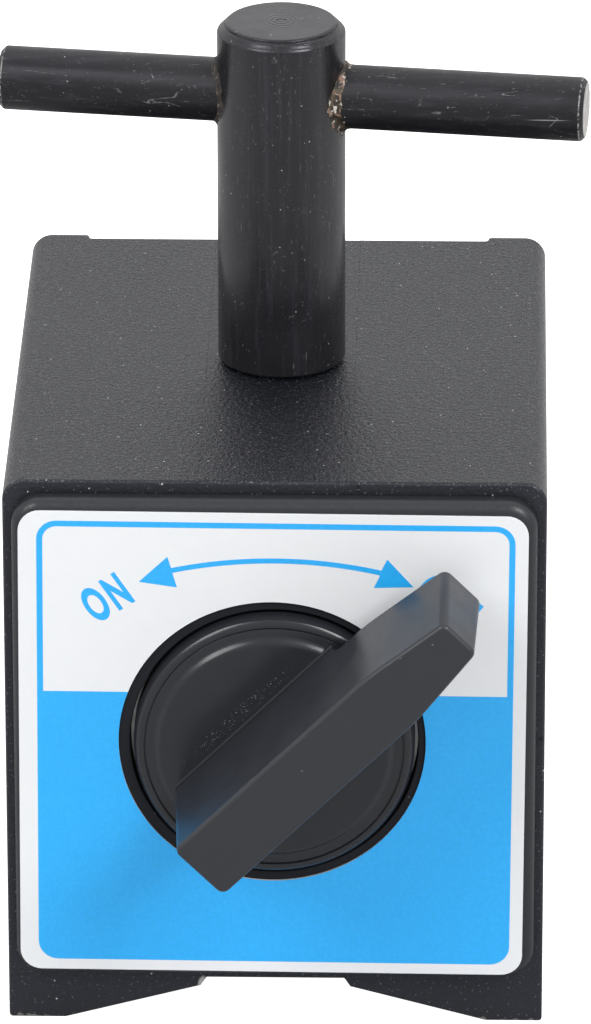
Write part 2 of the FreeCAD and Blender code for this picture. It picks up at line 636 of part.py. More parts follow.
def knob():
    """The knob: disc and handle in one moulding, with its socket, screw hole and stop groove."""
    body = knob_disc().fuse(handle())
    socket_end = KNOB_BACK - SQUARE_LENGTH - SOCKET_CLEARANCE
    body = body.cut(square_prism(SQUARE_SIZE + 2 * SOCKET_CLEARANCE, socket_end, KNOB_BACK + PAST))
    hole_end = KNOB_FACE - KNOB_SCREW_REACH - ROTOR_GAP
    body = body.cut(rod(KNOB_SCREW_RADIUS + THREAD_CLEARANCE, hole_end, KNOB_BACK + PAST))
    return body.cut(stop_groove())


# Post and cross bar

def turned_bar(radius, length, low_chamfer, high_chamfer):
    """A round bar up from the origin with a chamfer at each end."""
    points = [V(0, 0, 0), V(radius - low_chamfer, 0, 0), V(radius, 0, low_chamfer),
              V(radius, 0, length - high_chamfer), V(radius - high_chamfer, 0, length), V(0, 0, length)]
    return Part.Face(Part.makePolygon(points + points[:1])).revolve(V(0, 0, 0), Z_AXIS, 360)


def bar_blank(radius, start, length):
    """A plain rod on the cross bar's line, from a distance along it."""
    return Part.makeCylinder(radius, length, V(0, 0, BAR_AXIS_HEIGHT) + BAR_DIRECTION * start, BAR_DIRECTION)


def post():
    """The post, tapped from below, drilled across for the bar and centre-marked on top."""
    body = turned_bar(POST_RADIUS, POST_LENGTH, POST_FOOT_CHAMFER, POST_CHAMFER)
    body.translate(V(0, 0, BODY_HEIGHT))
    foot = V(0, 0, BODY_HEIGHT)
    body = body.cut(Part.makeCylinder(STUD_RADIUS + THREAD_CLEARANCE, POST_TAPPING_DEPTH, foot))
    body = body.cut(bar_blank(BAR_RADIUS + FIT_CLEARANCE, -2 * POST_RADIUS, 4 * POST_RADIUS))
    mark_tip = V(0, 0, POST_TOP - CENTRE_MARK_RADIUS)
    return body.cut(Part.makeCone(0, CENTRE_MARK_RADIUS, CENTRE_MARK_RADIUS, mark_tip, Z_AXIS))


def post_stud():
    """The stud that joins the post to the top separator."""
    low = BODY_HEIGHT - STUD_HOLE_DEPTH + STUD_END_GAP
    high = BODY_HEIGHT + POST_TAPPING_DEPTH - STUD_END_GAP
    stud = turned_bar(STUD_RADIUS, high - low, STUD_END_CHAMFER, STUD_END_CHAMFER)
    stud.translate(V(0, 0, low))
    return stud


def cross_bar():
    """The thin bar through the post."""
    bar = turned_bar(BAR_RADIUS, BAR_LENGTH, BAR_CHAMFER, BAR_CHAMFER)
    start = BAR_OFFSET - BAR_LENGTH / 2
    return placed(bar, V(0, 0, BAR_AXIS_HEIGHT) + BAR_DIRECTION * start, BAR_DIRECTION)


def bead(side, length):
    """A brazed fillet round the bar where it leaves one side of the post."""
    direction = BAR_DIRECTION * side
    wide, thin = BAR_RADIUS + BEAD_RISE, BAR_RADIUS + BEAD_EDGE
    start = sqrt(POST_RADIUS ** 2 - wide ** 2)
    cone = Part.makeCone(wide, thin, POST_RADIUS + length - start)
    cone = placed(cone, V(0, 0, BAR_AXIS_HEIGHT) + direction * start, direction)
    cone = cone.cut(Part.makeCylinder(POST_RADIUS + FIT_CLEARANCE, POST_TOP))
    return cone.cut(bar_blank(BAR_RADIUS + FIT_CLEARANCE, -BAR_LENGTH, 2 * BAR_LENGTH))


def braze_beads():
    """The brazed fillets on both sides of the post."""
    return [bead(1, BEAD_RIGHT_LENGTH), bead(-1, BEAD_LEFT_LENGTH)]


PIECES = [
    left_pole, right_pole, top_separator, bottom_separator,
    front_cover, front_label, front_cover_screws, rear_cover, rear_cover_screws,
    front_bearing_plate, rear_bearing_plate, front_bush, rear_bush,
    front_thrust_washer, rear_thrust_washer, spindle_seal, stop_pin,
    rotor_pole_upper, rotor_pole_lower, magnet_front, magnet_rear,
    front_spindle, rear_spindle, front_rotor_screws, rear_rotor_screws,
    knob, knob_screw, post, post_stud, cross_bar, braze_beads,
]


def main():
    """Write each piece to its own file."""
    os.makedirs("parts", exist_ok=True)
    for piece in PIECES:
        shape = piece()
        if isinstance(shape, list):
            shape = Part.makeCompound(shape)
        name = piece.__name__
        solids = shape.Solids
        print(f"{name}: {len(solids)} solids, {shape.Volume:.1f} mm3, valid {shape.isValid()}")
        if len(solids) == 1:
            shape = solids[0]
        shape.exportStep(f"parts/{name}.step")


main()
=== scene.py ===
"""The look of the switchable magnetic base: fine meshes, finishes, light and camera.

Lengths are in metres. X runs to the right, Y to the back and Z up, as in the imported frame.
"""

import json
from functools import cache
from math import asin, atan2, cos, pi, radians, sin, sqrt, tan

import bmesh
import bpy
from bpy.props import FloatProperty, FloatVectorProperty, PointerProperty
from bpy.types import Operator, Panel, PropertyGroup
from mathutils import Matrix, Vector, noise


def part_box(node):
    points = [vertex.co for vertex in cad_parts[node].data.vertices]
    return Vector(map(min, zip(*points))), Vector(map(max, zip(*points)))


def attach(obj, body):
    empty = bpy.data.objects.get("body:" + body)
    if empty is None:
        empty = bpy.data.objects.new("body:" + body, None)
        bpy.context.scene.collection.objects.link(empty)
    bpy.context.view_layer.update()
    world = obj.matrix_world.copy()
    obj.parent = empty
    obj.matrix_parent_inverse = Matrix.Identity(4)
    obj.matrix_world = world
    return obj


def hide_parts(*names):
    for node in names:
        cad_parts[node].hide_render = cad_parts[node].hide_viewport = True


bl_info = {
    "name": "Magnetic base",
    "version": (1, 0, 0),
    "blender": (4, 5, 0),
    "location": "View3D > Sidebar > Magnetic base",
    "description": "Builds the visible pieces of a switchable magnetic base on its packed frame",
    "category": "Object",
}

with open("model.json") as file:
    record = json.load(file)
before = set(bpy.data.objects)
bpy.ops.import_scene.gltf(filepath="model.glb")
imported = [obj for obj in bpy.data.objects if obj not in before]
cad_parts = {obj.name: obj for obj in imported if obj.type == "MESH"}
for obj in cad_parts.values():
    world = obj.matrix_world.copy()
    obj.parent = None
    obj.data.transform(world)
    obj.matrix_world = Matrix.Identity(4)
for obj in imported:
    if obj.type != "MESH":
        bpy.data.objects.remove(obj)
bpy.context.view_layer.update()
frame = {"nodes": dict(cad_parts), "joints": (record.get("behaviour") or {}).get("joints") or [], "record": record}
MM = 0.001
CAPITALS = 0.7  # height of a capital as a share of the font's size

# Places read from the frame
BODY_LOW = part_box("left_pole")[0]
BODY_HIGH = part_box("right_pole")[1]
TOP_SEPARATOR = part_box("top_separator")
BOTTOM_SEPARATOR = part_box("bottom_separator")
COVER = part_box("front_cover")
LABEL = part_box("front_label")
REAR_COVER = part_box("rear_cover")
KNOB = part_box("knob")
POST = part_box("post")
BORE = Vector(frame["joints"][0]["pos_m"])


def length(name, description, default, **settings):
    """A length property, with its default in millimetres."""
    return FloatProperty(name=name, description=description, default=default * MM, unit="LENGTH",
                         precision=5, **settings)


def spot(name, description, across, up):
    """A place on the front, in millimetres across and up from the knob's axis."""
    return FloatVectorProperty(name=name, description=description, default=(across * MM, up * MM), size=2,
                               unit="LENGTH", subtype="TRANSLATION")


def angle(name, description, default):
    """An angle property, with its default in degrees."""
    return FloatProperty(name=name, description=description, default=radians(default),
                         subtype="ANGLE", unit="ROTATION")


def colour(name, description, default):
    """A colour property."""
    return FloatVectorProperty(name=name, description=description, default=default, size=3,
                               min=0.0, max=1.0, subtype="COLOR")


def amount(name, description, default, **settings):
    """A plain number property."""
    return FloatProperty(name=name, description=description, default=default, **settings)


class BlockSizes(PropertyGroup):
    """Sizes of the painted block."""
    bore_radius: length("Bore radius", "Radius of the bore through both poles", 15.5)
    top_round: length("Top round", "Radius of the long edges on top", 2.0)
    foot_width: length("Foot width", "Width of each pole's flat sole", 5.3)
    v_slope: angle("V slope", "Slope of the V's sides", 15.0)
    slot_step: length("Slot step", "Width of the step between the V and the slot", 0.55)
    rail_width: length("Rail width", "Width of each rail on the rear face", 5.6)
    edge_round: length("Edge round", "Radius of the painted edges", 0.35)
    seam_round: length("Seam round", "Radius of the edges along the separators", 0.015)


class CoverSizes(PropertyGroup):
    """Sizes of the front and rear covers and their screws."""
    corner: length("Corner", "Radius of the front cover's corners", 2.75)
    edge_round: length("Edge round", "Radius of the front cover's front edge", 1.15)
    # The rim round the hole carries painted shade: a darker copy of the plastic.
    hole_gap: length("Hole gap", "Gap between the knob's disc and the hole in the cover", 0.3)
    shaded_hole_rim: length("Hole rim", "Width of the dark rim round the hole", 1.2)
    rear_corner: length("Rear corner", "Radius of the rear cover's corners", 3.0)
    rear_edge: length("Rear edge", "Radius of the rear cover's outer edge", 0.25)
    front_inset: length("Front screw inset", "Distance of the front screws from the cover's sides", 4.2)
    front_screw: length("Front screw", "Radius of the front cover's screws", 1.5)
    front_length: length("Front screw length", "Length of the front cover's screws", 9.0)
    rear_inset: length("Rear screw inset", "Distance of the rear screws from the cover's sides", 4.1)
    rear_screw: length("Rear screw", "Radius of the rear cover's screws", 1.25)
    rear_length: length("Rear screw length", "Length of the rear cover's screws", 8.0)
    countersink: amount("Countersink", "Head radius over shank radius", 1.85)


class LabelSizes(PropertyGroup):
    """Sizes of the label and of what is printed on it."""
    width: length("Width", "Width of the label", 46.8)
    height: length("Height", "Height of the label", 46.7)
    corner: length("Corner", "Radius of the label's corners", 2.0)
    hole: length("Hole", "Radius of the hole for the knob", 14.2)
    offset: length("Offset", "How far the label sits to the left of the middle", 0.2)
    skew: angle("Skew", "How far the label is turned, clockwise from the front", 0.35)
    print_width: length("Print width", "Width of the blue border", 43.9)
    print_height: length("Print height", "Height of the blue border", 44.7)
    print_shift: length("Print shift", "How far the print sits to the right of the middle", 0.05)
    print_middle: length("Print middle", "Height of the print's middle", 29.5)
    drop: length("Drop", "How far the label sits below the cover's middle", 0.17)
    print_corner: length("Print corner", "Radius of the border's corners", 1.85)
    line: length("Line", "Width of the border's line", 0.56)
    split: length("Split", "Height of the blue field above the print's middle", 5.18)
    ink: length("Ink", "Thickness of the printed film", 0.012)
    arc_radius: length("Arc radius", "Radius of the double arrow's arc", 43.0)
    arc_top: length("Arc top", "Height of the arc's top above the knob's axis", 18.35)
    arc_line: length("Arc line", "Width of the arc's line", 0.5)
    left_tip: spot("Left tip", "Tip of the left arrow head", -12.41, 16.15)
    left_upper: spot("Left upper", "Upper corner of the left arrow head", -9.77, 18.68)
    left_lower: spot("Left lower", "Lower corner of the left arrow head", -8.9, 15.62)
    right_tip: spot("Right tip", "Tip of the right arrow head", 12.8, 15.82)
    right_upper: spot("Right upper", "Upper corner of the right arrow head", 10.39, 18.58)
    right_lower: spot("Right lower", "Lower corner of the right arrow head", 9.16, 15.72)
    letter_height: length("Letter height", "Height of the capitals", 3.5)
    letter_bold: length("Letter bold", "How far the letters' strokes are widened on each side", 0.19)
    letter_space: amount("Letter space", "Space between the letters, against the font's", 1.28)
    letter_stretch: amount("Letter stretch", "Height of the letters, against the font's", 0.93)
    on_place: spot("ON place", "Middle of the word ON", -15.33, 14.35)
    on_lean: angle("ON lean", "How far the word ON is turned anticlockwise", 33.5)
    on_width: amount("ON width", "Width of the letters of ON, against the font's", 0.5)
    off_place: spot("OFF place", "Middle of the word OFF", 15.75, 14.2)
    off_lean: angle("OFF lean", "How far the word OFF is turned anticlockwise", -38.0)
    off_width: amount("OFF width", "Width of the letters of OFF, against the font's", 0.57)


class KnobSizes(PropertyGroup):
    """Sizes of the knob."""
    radius: length("Radius", "Radius of the disc", 13.0)
    back: length("Back", "Distance of the disc's back from the block", 0.3)
    proud: length("Proud", "Height of the flange above the cover", 1.2)
    shoulder: length("Shoulder", "Radius of the flange's round shoulder", 0.95)
    groove_radius: length("Groove radius", "Radius of the fine groove", 12.0)
    groove_width: length("Groove width", "Width of the fine groove", 0.14)
    groove_depth: length("Groove depth", "Depth of the fine groove", 0.22)
    ledge: length("Ledge", "Depth of the ledge inside the groove", 0.08)
    face_proud: length("Face proud", "Height of the inner face above the flange", 0.35)
    rise_start: length("Rise start", "Radius where the ledge starts to rise to the face", 11.25)
    rise_end: length("Rise end", "Radius where the face starts", 10.4)
    lever_angle: angle("Lever angle", "How far the lever points above the right, when off", 45.0)
    lever_tip: length("Tip", "Distance of the lever's tip from the axis", 24.3)
    lever_bend: length("Bend", "Where the lever's sides start to close in, from the axis", 15.5)
    lever_tail: length("Tail", "Distance of the lever's tail from the axis", 9.4)
    lever_width: length("Width", "Width of the lever's face", 6.4)
    tip_width: length("Tip width", "Width of the lever's face at its tip", 4.2)
    draft: angle("Draft", "Lean of the lever's sides", 1.8)
    corner: length("Corner", "Radius of the lever's upright corners", 0.8)
    bend_round: length("Bend round", "Radius of the lever's sides at the bend", 25.0)
    edge: length("Edge", "Radius of the lever's front edges", 0.45)
    root_round: length("Root round", "Radius where the lever meets the disc", 0.15)
    tip_clearance: length("Tip clearance", "Height of the tip's underside above the cover", 3.5)
    neck: length("Neck", "Where the tip's underside starts, from the axis", 11.2)
    neck_round: length("Neck round", "Radius where the underside meets the disc", 1.5)


class PostSizes(PropertyGroup):
    """Sizes of the post, the cross bar and the brazing between them."""
    radius: length("Post radius", "Radius of the post", 6.0)
    top_chamfer: length("Top chamfer", "Chamfer at the post's top", 0.95)
    foot_chamfer: length("Foot chamfer", "Chamfer at the post's foot", 0.3)
    bar_radius: length("Bar radius", "Radius of the cross bar", 3.0)
    bar_length: length("Bar length", "Length of the cross bar", 55.24)
    bar_offset: length("Bar offset", "How far the bar's middle lies to the right", 1.08)
    bar_drop: length("Bar drop", "Distance of the bar's axis from the post's top", 7.15)
    bar_turn: angle("Bar turn", "How far the bar is turned about the post", -7.72)
    bar_chamfer: length("Bar chamfer", "Chamfer at the bar's ends", 0.4)
    edge: length("Edge", "Radius of the turned edges", 0.12)
    bead_rise: length("Bead rise", "Height of the brazing over the bar", 0.32)
    right_bead: length("Right bead", "Reach of the brazing on the right", 0.62)
    left_bead: length("Left bead", "Reach of the brazing on the left", 0.4)
    sag: length("Sag", "How far the right brazing hangs below the bar", 0.4)


class FinishColours(PropertyGroup):
    """Colours of the finishes."""
    paint: colour("Paint", "The block's powder paint", (0.0055, 0.006, 0.009))
    # Lighter than the paint on top: painted light on the upright faces.
    paint_upright: colour("Upright paint", "The paint on upright faces", (0.027, 0.028, 0.0325))
    paint_light: colour("Paint grain", "Where the paint's grain is worn or dusty", (0.2, 0.205, 0.245))
    plastic: colour("Plastic", "The knob's and the cover's plastic", (0.019, 0.0205, 0.025))
    white: colour("White", "The label's white", (0.84, 0.855, 0.87))
    blue: colour("Blue", "The label's blue", (0.018, 0.42, 0.93))
    oxide: colour("Oxide", "The post's and the bar's black oxide", (0.0095, 0.0095, 0.0115))
    steel: colour("Steel", "Bare steel", (0.42, 0.41, 0.4))
    braze: colour("Braze", "The brazing", (0.13, 0.1, 0.065))
    zinc: colour("Zinc", "The screws' zinc plating", (0.5, 0.5, 0.52))
    aluminium: colour("Aluminium", "The bearing plates and spindles", (0.62, 0.63, 0.64))
    brass: colour("Brass", "The bushes", (0.62, 0.46, 0.2))
    rubber: colour("Rubber", "The seal", (0.02, 0.02, 0.02))
    washer: colour("Washer", "The thrust washers", (0.72, 0.7, 0.64))
    ferrite: colour("Ferrite", "The magnets", (0.07, 0.07, 0.075))


class StageSettings(PropertyGroup):
    """The camera, the lamps and the floor."""
    eye: FloatVectorProperty(name="Eye", description="Place of the camera", size=3, subtype="TRANSLATION",
                             unit="LENGTH", default=(0.01908, -0.81134, 0.39582))
    pitch: angle("Pitch", "How far the camera looks down", 23.7434)
    yaw: angle("Yaw", "How far the camera looks to the left", 1.257)
    roll: angle("Roll", "How far the camera is rolled", 0.064)
    lens: amount("Lens", "Focal length in millimetres for a 36 mm sensor", 327.54)
    key: amount("Key", "Power of the left lamp in watts", 3.42)
    fill: amount("Fill", "Power of the right lamp in watts", 4.85)
    overhead: amount("Overhead", "Power of the lamp above in watts", 0.5)
    sky: amount("Sky", "Strength of the surroundings on matt surfaces", 0.45)
    front: amount("Front", "Strength of what the front faces mirror", 0.6)
    back: amount("Back", "Strength of what mirrors from the sides and the back", 0.95)
    floor: colour("Floor", "Colour of the floor", (0.78, 0.78, 0.78))


# Outlines

def arc_points(centre, radius, start, end, steps):
    """Points along an arc, both ends included."""
    turns = [start + (end - start) * i / steps for i in range(steps + 1)]
    return [(centre[0] + radius * cos(t), centre[1] + radius * sin(t)) for t in turns]


def quarter(steps):
    """Angles from 0 to a right angle, both included."""
    return [pi / 2 * i / steps for i in range(steps + 1)]


def circle(radius, centre=(0.0, 0.0), count=128):
    """Points round a circle."""
    return arc_points(centre, radius, 0.0, 2 * pi * (count - 1) / count, count - 1)


def rounded(corners, radii, steps=8):
    """A closed outline with each corner rounded by its own radius, 0 for a sharp one."""
    outline = []
    count = len(corners)
    for i, corner in enumerate(corners):
        here = Vector(corner)
        if radii[i] <= 0:
            outline.append(tuple(here))
            continue
        before = (Vector(corners[i - 1]) - here).normalized()
        after = (Vector(corners[(i + 1) % count]) - here).normalized()
        half = before.angle(after) / 2
        centre = here + (before + after).normalized() * radii[i] / sin(half)
        start = here + before * radii[i] / tan(half) - centre
        end = here + after * radii[i] / tan(half) - centre
        sweep = start.angle_signed(end)
        for k in range(steps + 1):
            turn = Matrix.Rotation(-sweep * k / steps, 2)
            outline.append(tuple(centre + turn @ start))
    return outline


def rounded_box(width, height, radius, inset=0.0):
    """A rounded rectangle about the origin, drawn in by an inset."""
    x, y = width / 2 - inset, height / 2 - inset
    corners = [(-x, -y), (x, -y), (x, y), (-x, y)]
    return rounded(corners, [max(radius - inset, 0.02 * MM)] * 4)


def turned(points, turn, centre=(0.0, 0.0)):
    """Points turned about the origin and moved to a centre."""
    return [(centre[0] + x * cos(turn) - z * sin(turn), centre[1] + x * sin(turn) + z * cos(turn))
            for x, z in points]


def upright(points, y):
    """A flat outline stood up, facing along Y."""
    return [Vector((x, y, z)) for x, z in points]


# Meshes

def add_loops(bm, loops):
    """Adds closed loops of equal length, joined by quads, and returns their vertices."""
    rows = [[bm.verts.new(point) for point in loop] for loop in loops]
    for low, high in zip(rows, rows[1:]):
        for i, corner in enumerate(low):
            j = (i + 1) % len(low)
            bm.faces.new((corner, low[j], high[j], high[i]))
    return rows


def ring_edges(bm, row):
    """The edges of one closed row of vertices."""
    edges = []
    for i, vert in enumerate(row):
        other = row[(i + 1) % len(row)]
        edges.append(bm.edges.get((vert, other)) or bm.edges.new((vert, other)))
    return edges


def capped(bm, first, last):
    """Closes a stack of loops with a whole face at each end, and turns all faces outwards."""
    bm.faces.new(first)
    bm.faces.new(last)
    bmesh.ops.recalc_face_normals(bm, faces=bm.faces)
    return bm


def plate(outer, holes=()):
    """A solid between the first and last loops of an outline, with holes through it."""
    bm = bmesh.new()
    stacks = [add_loops(bm, outer)] + [add_loops(bm, hole) for hole in holes]
    for end in (0, -1):
        edges = [edge for rows in stacks for edge in ring_edges(bm, rows[end])]
        bmesh.ops.triangle_fill(bm, edges=edges, use_beauty=True)
    bmesh.ops.recalc_face_normals(bm, faces=bm.faces)
    return bm


def prism(outline, y0, y1):
    """A solid of constant outline along Y, with whole faces at both ends."""
    bm = bmesh.new()
    return capped(bm, *add_loops(bm, [upright(outline, y0), upright(outline, y1)]))


def lathe(profile, segments=160):
    """A turned solid about the bore's axis, from (radius, y) points whose ends lie on the axis."""
    bm = bmesh.new()
    turns = [2 * pi * i / segments for i in range(segments)]
    loops = [[BORE + Vector((r * cos(t), y - BORE.y, r * sin(t))) for t in turns] for r, y in profile[1:-1]]
    rows = add_loops(bm, loops)
    for end, row in ((profile[0], rows[0]), (profile[-1], rows[-1])):
        tip = bm.verts.new((BORE.x, end[1], BORE.z))
        for i, vert in enumerate(row):
            bm.faces.new((vert, row[(i + 1) % segments], tip))
    bmesh.ops.recalc_face_normals(bm, faces=bm.faces)
    return bm


def fillet(centre, radius, start, end, steps=6):
    """Profile points round a fillet, with its angles in degrees."""
    return arc_points(centre, radius, radians(start), radians(end), steps)


def linked(name, data):
    """A new object in the scene."""
    obj = bpy.data.objects.new(name, data)
    bpy.context.scene.collection.objects.link(obj)
    return obj


def thing(name, bm):
    """A mesh object at the origin from a bmesh."""
    mesh = bpy.data.meshes.new(name)
    bm.to_mesh(mesh)
    bm.free()
    return linked(name, mesh)


def bake(obj):
    """Applies an object's modifiers to its mesh."""
    graph = bpy.context.evaluated_depsgraph_get()
    graph.update()
    mesh = bpy.data.meshes.new_from_object(obj.evaluated_get(graph), preserve_all_data_layers=True,
                                           depsgraph=graph)
    mesh.name = obj.name
    obj.modifiers.clear()
    obj.data = mesh
    if not mesh.polygons:
        raise RuntimeError(f"{obj.name} came out empty")


def combine(obj, other, operation):
    """Joins another solid to an object or cuts it away, and removes the other."""
    modifier = obj.modifiers.new("combine", "BOOLEAN")
    modifier.operation = operation
    modifier.solver = "EXACT"
    modifier.object = other
    bake(obj)
    bpy.data.objects.remove(other)


def soften(obj, width, weight_of=None):
    """Rounds an object's sharp edges, by a share of the width where weight_of gives one."""
    bm = bmesh.new()
    bm.from_mesh(obj.data)
    layer = bm.edges.layers.float.new("bevel_weight_edge")
    for edge in bm.edges:
        if len(edge.link_faces) == 2 and edge.calc_face_angle() > radians(30):
            edge[layer] = weight_of(edge) if weight_of else 1.0
    bm.to_mesh(obj.data)
    bm.free()
    modifier = obj.modifiers.new("soften", "BEVEL")
    modifier.limit_method = "WEIGHT"
    modifier.width = width
    modifier.segments = 3
    modifier.miter_outer = "MITER_ARC"
    bake(obj)


def smooth(obj, limit=38.0):
    """Shades an object smooth up to an angle, with flat faces kept flat."""
    obj.data.shade_smooth()
    obj.data.set_sharp_from_angle(angle=radians(limit))
    modifier = obj.modifiers.new("flats", "WEIGHTED_NORMAL")
    modifier.keep_sharp = True
    modifier.weight = 80
    bake(obj)


def settle(obj, body, slot, nodes, *materials):
    """Gives a finished piece its materials and its body, and hides the nodes it stands for; its slot is not used.
    """
    if materials:
        obj.data.materials.clear()
        for material in materials:
            obj.data.materials.append(material)
    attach(obj, body)
    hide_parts(*nodes)


def repaint(obj, slot, chosen):
    """Gives another material to the faces picked by their distance from the bore's axis and their Y."""
    for face in obj.data.polygons:
        away = Vector((face.center.x - BORE.x, face.center.z - BORE.z)).length
        if chosen(away, face.center.y):
            face.material_index = slot


# Nodes and finishes

class Tree:
    """A node tree in the making, with short calls for the nodes that are added to it."""

    def __init__(self, tree):
        self.tree = tree

    def feed(self, socket, value):
        """Gives a socket a value or a link."""
        if isinstance(value, bpy.types.NodeSocket):
            self.tree.links.new(value, socket)
        else:
            socket.default_value = value

    def add(self, kind, feeds=None, **settings):
        """Adds a node with its settings, and feeds its inputs by their names or numbers."""
        node = self.tree.nodes.new(kind)
        for key, value in settings.items():
            setattr(node, key, value)
        for key, value in (feeds or {}).items():
            self.feed(node.inputs[key], value)
        return node

    def sum(self, operation, a, b=0.0):
        """One sum on two values."""
        return self.add("ShaderNodeMath", {0: a, 1: b}, operation=operation).outputs[0]

    def times(self, a, b):
        """The product of two values."""
        return self.sum("MULTIPLY", a, b)

    def gap(self, a, b):
        """How far two values are apart."""
        return self.sum("ABSOLUTE", self.sum("SUBTRACT", a, b))

    def radius(self, a, b):
        """The distance from an axis, from two coordinates across it."""
        return self.sum("SQRT", self.sum("ADD", self.sum("POWER", a, 2.0), self.sum("POWER", b, 2.0)))

    def ramp(self, value, low, high, start=0.0, end=1.0):
        """A smooth step of a value between two levels."""
        levels = {"Value": value, "From Min": low, "From Max": high, "To Min": start, "To Max": end}
        return self.add("ShaderNodeMapRange", levels, interpolation_type="SMOOTHSTEP").outputs["Result"]

    def parts(self, vector):
        """A vector's X, Y and Z."""
        return self.add("ShaderNodeSeparateXYZ", {0: vector}).outputs


class Finish(Tree):
    """A procedural material in the making: its shader, and short calls for the nodes before it."""

    def __init__(self, name, base, roughness, metallic=0.0, ior=1.5, **sockets):
        self.material = bpy.data.materials.new(name)
        self.material.use_nodes = True
        super().__init__(self.material.node_tree)
        self.shader = self.tree.nodes["Principled BSDF"]
        self.set("Base Color", (*base, 1.0))
        self.set("Roughness", roughness)
        self.set("Metallic", metallic)
        self.set("IOR", ior)
        for socket, value in sockets.items():
            self.set(socket.replace("_", " "), value)
        self.place = self.add("ShaderNodeTexCoord").outputs["Object"]

    def set(self, socket, value):
        """Sets one of the shader's sockets, or links it."""
        self.feed(self.shader.inputs[socket], value)

    def base(self):
        """What the base colour is linked to so far."""
        return self.shader.inputs["Base Color"].links[0].from_socket

    def blend(self, factor, a, b):
        """A mix of two colours."""
        a, b = [(*shade, 1.0) if isinstance(shade, tuple) else shade for shade in (a, b)]
        return self.add("ShaderNodeMix", {0: factor, 6: a, 7: b}, data_type="RGBA").outputs[2]

    def axes(self):
        """The object coordinates' X, Y and Z."""
        return self.parts(self.place)

    def stretched(self, scale, turn=(0.0, 0.0, 0.0)):
        """Object coordinates, turned and scaled."""
        mapping = {"Vector": self.place, "Rotation": turn, "Scale": scale}
        return self.add("ShaderNodeMapping", mapping).outputs["Vector"]

    def noise(self, scale, detail=2.0, vector=None, roughness=0.5):
        """Smooth noise from 0 to 1."""
        look = {"Vector": vector or self.place, "Scale": scale, "Detail": detail, "Roughness": roughness}
        return self.add("ShaderNodeTexNoise", look).outputs["Fac"]

    def specks(self, spacing, size):
        """1 on scattered spots, one for each cube of a spacing, with both lengths in millimetres."""
        cells = self.add("ShaderNodeTexVoronoi", {"Vector": self.place, "Scale": 1 / (spacing * MM)})
        return self.ramp(cells.outputs["Distance"], size / spacing, 0.7 * size / spacing)

    def dusted(self, base, spacing, size, dust):
        """A colour with specks of dust on it."""
        return self.blend(self.specks(spacing, size), base, dust)

    def near(self, centre, reach, stretch=(1.0, 1.0, 1.0), turn=(0.0, 0.0, 0.0)):
        """1 at a centre, falling to 0 at a reach."""
        mapping = {"Vector": self.place, "Location": centre, "Rotation": turn,
                   "Scale": [reach * share for share in stretch]}
        shift = self.add("ShaderNodeMapping", mapping, vector_type="TEXTURE")
        distance = self.add("ShaderNodeVectorMath", {0: shift.outputs[0]}, operation="LENGTH")
        return self.ramp(distance.outputs["Value"], 1.0, 0.4)

    def bump(self, height, distance, strength=1.0):
        """Adds relief of a height to the shader's normal, over what is there."""
        node = self.add("ShaderNodeBump", {"Strength": strength, "Distance": distance, "Height": height})
        normal = self.shader.inputs["Normal"]
        if normal.links:
            self.feed(node.inputs["Normal"], normal.links[0].from_socket)
        self.feed(normal, node.outputs["Normal"])


def colours():
    """The colours in use, as plain tuples by name."""
    group = bpy.context.scene.base_colours
    return {key: tuple(getattr(group, key)) for key in FinishColours.__annotations__}


def body_paint():
    """Fine-grained black powder paint with dust in it, chipped along the soles, and painted lighter on upright
    faces as painted light.
    """
    use = colours()
    pale_dust, grey_dust, pits = (0.55, 0.55, 0.56), (0.14, 0.14, 0.15), (0.004, 0.004, 0.005)
    bright, chipped = (0.5, 0.49, 0.48), (0.16, 0.155, 0.15)
    finish = Finish("black_paint", use["paint"], 0.36, Specular_Tint=(0.82, 0.84, 0.97, 1.0))
    grain = finish.noise(2200, 3.0, roughness=0.75)
    upward = finish.parts(finish.add("ShaderNodeNewGeometry").outputs["Normal"])["Z"]
    # Higher on upward faces: it sets where dust lies, and how much of the lighter upright paint (painted light)
    # shows.
    dusty = finish.ramp(upward, 0.4, 1.0, 0.35, 1.0)
    patches = finish.ramp(finish.noise(110, 4.0), 0.3, 0.7, 0.6, 1.3)
    worn = finish.times(finish.ramp(grain, 0.63, 0.7), finish.times(dusty, patches))
    # Painted light: upright faces get the lighter copy of the paint, top faces the darker one.
    painted = finish.blend(dusty, use["paint_upright"], use["paint"])
    painted = finish.blend(worn, painted, use["paint_light"])
    for spacing, size, dust in ((1.7, 0.1, pale_dust), (0.45, 0.07, grey_dust), (4.5, 0.3, pits)):
        painted = finish.dusted(painted, spacing, size, dust)
    low = finish.ramp(finish.axes()["Z"], 1.5 * MM, 0.05 * MM)
    chips = finish.ramp(finish.times(low, finish.noise(900, 3.0)), 0.46, 0.52)
    burr = finish.near((-6.9 * MM, BODY_LOW.y, 3.9 * MM), 0.8 * MM, (0.5, 1.0, 1.0), (0.0, radians(20), 0.0))
    painted = finish.blend(burr, painted, bright)
    finish.set("Base Color", finish.blend(chips, painted, chipped))
    finish.set("Roughness", finish.ramp(finish.noise(2600, 2.0), 0.3, 0.7, 0.2, 0.3))
    finish.bump(finish.times(grain, dusty), 0.23 * MM)
    finish.bump(finish.noise(700, 2.0), 0.03 * MM, 0.6)
    return finish.material


def cover_plastic():
    """Satin black plastic of the front cover, with a little dust."""
    use = colours()
    dust = (0.22, 0.22, 0.23)
    finish = Finish("satin_plastic", use["plastic"], 0.4)
    grain = finish.noise(3800, 2.0)
    finish.set("Base Color", finish.dusted(use["plastic"], 2.6, 0.1, dust))
    finish.set("Roughness", finish.ramp(grain, 0.3, 0.7, 0.32, 0.48))
    finish.bump(grain, 0.01 * MM, 0.7)
    return finish.material


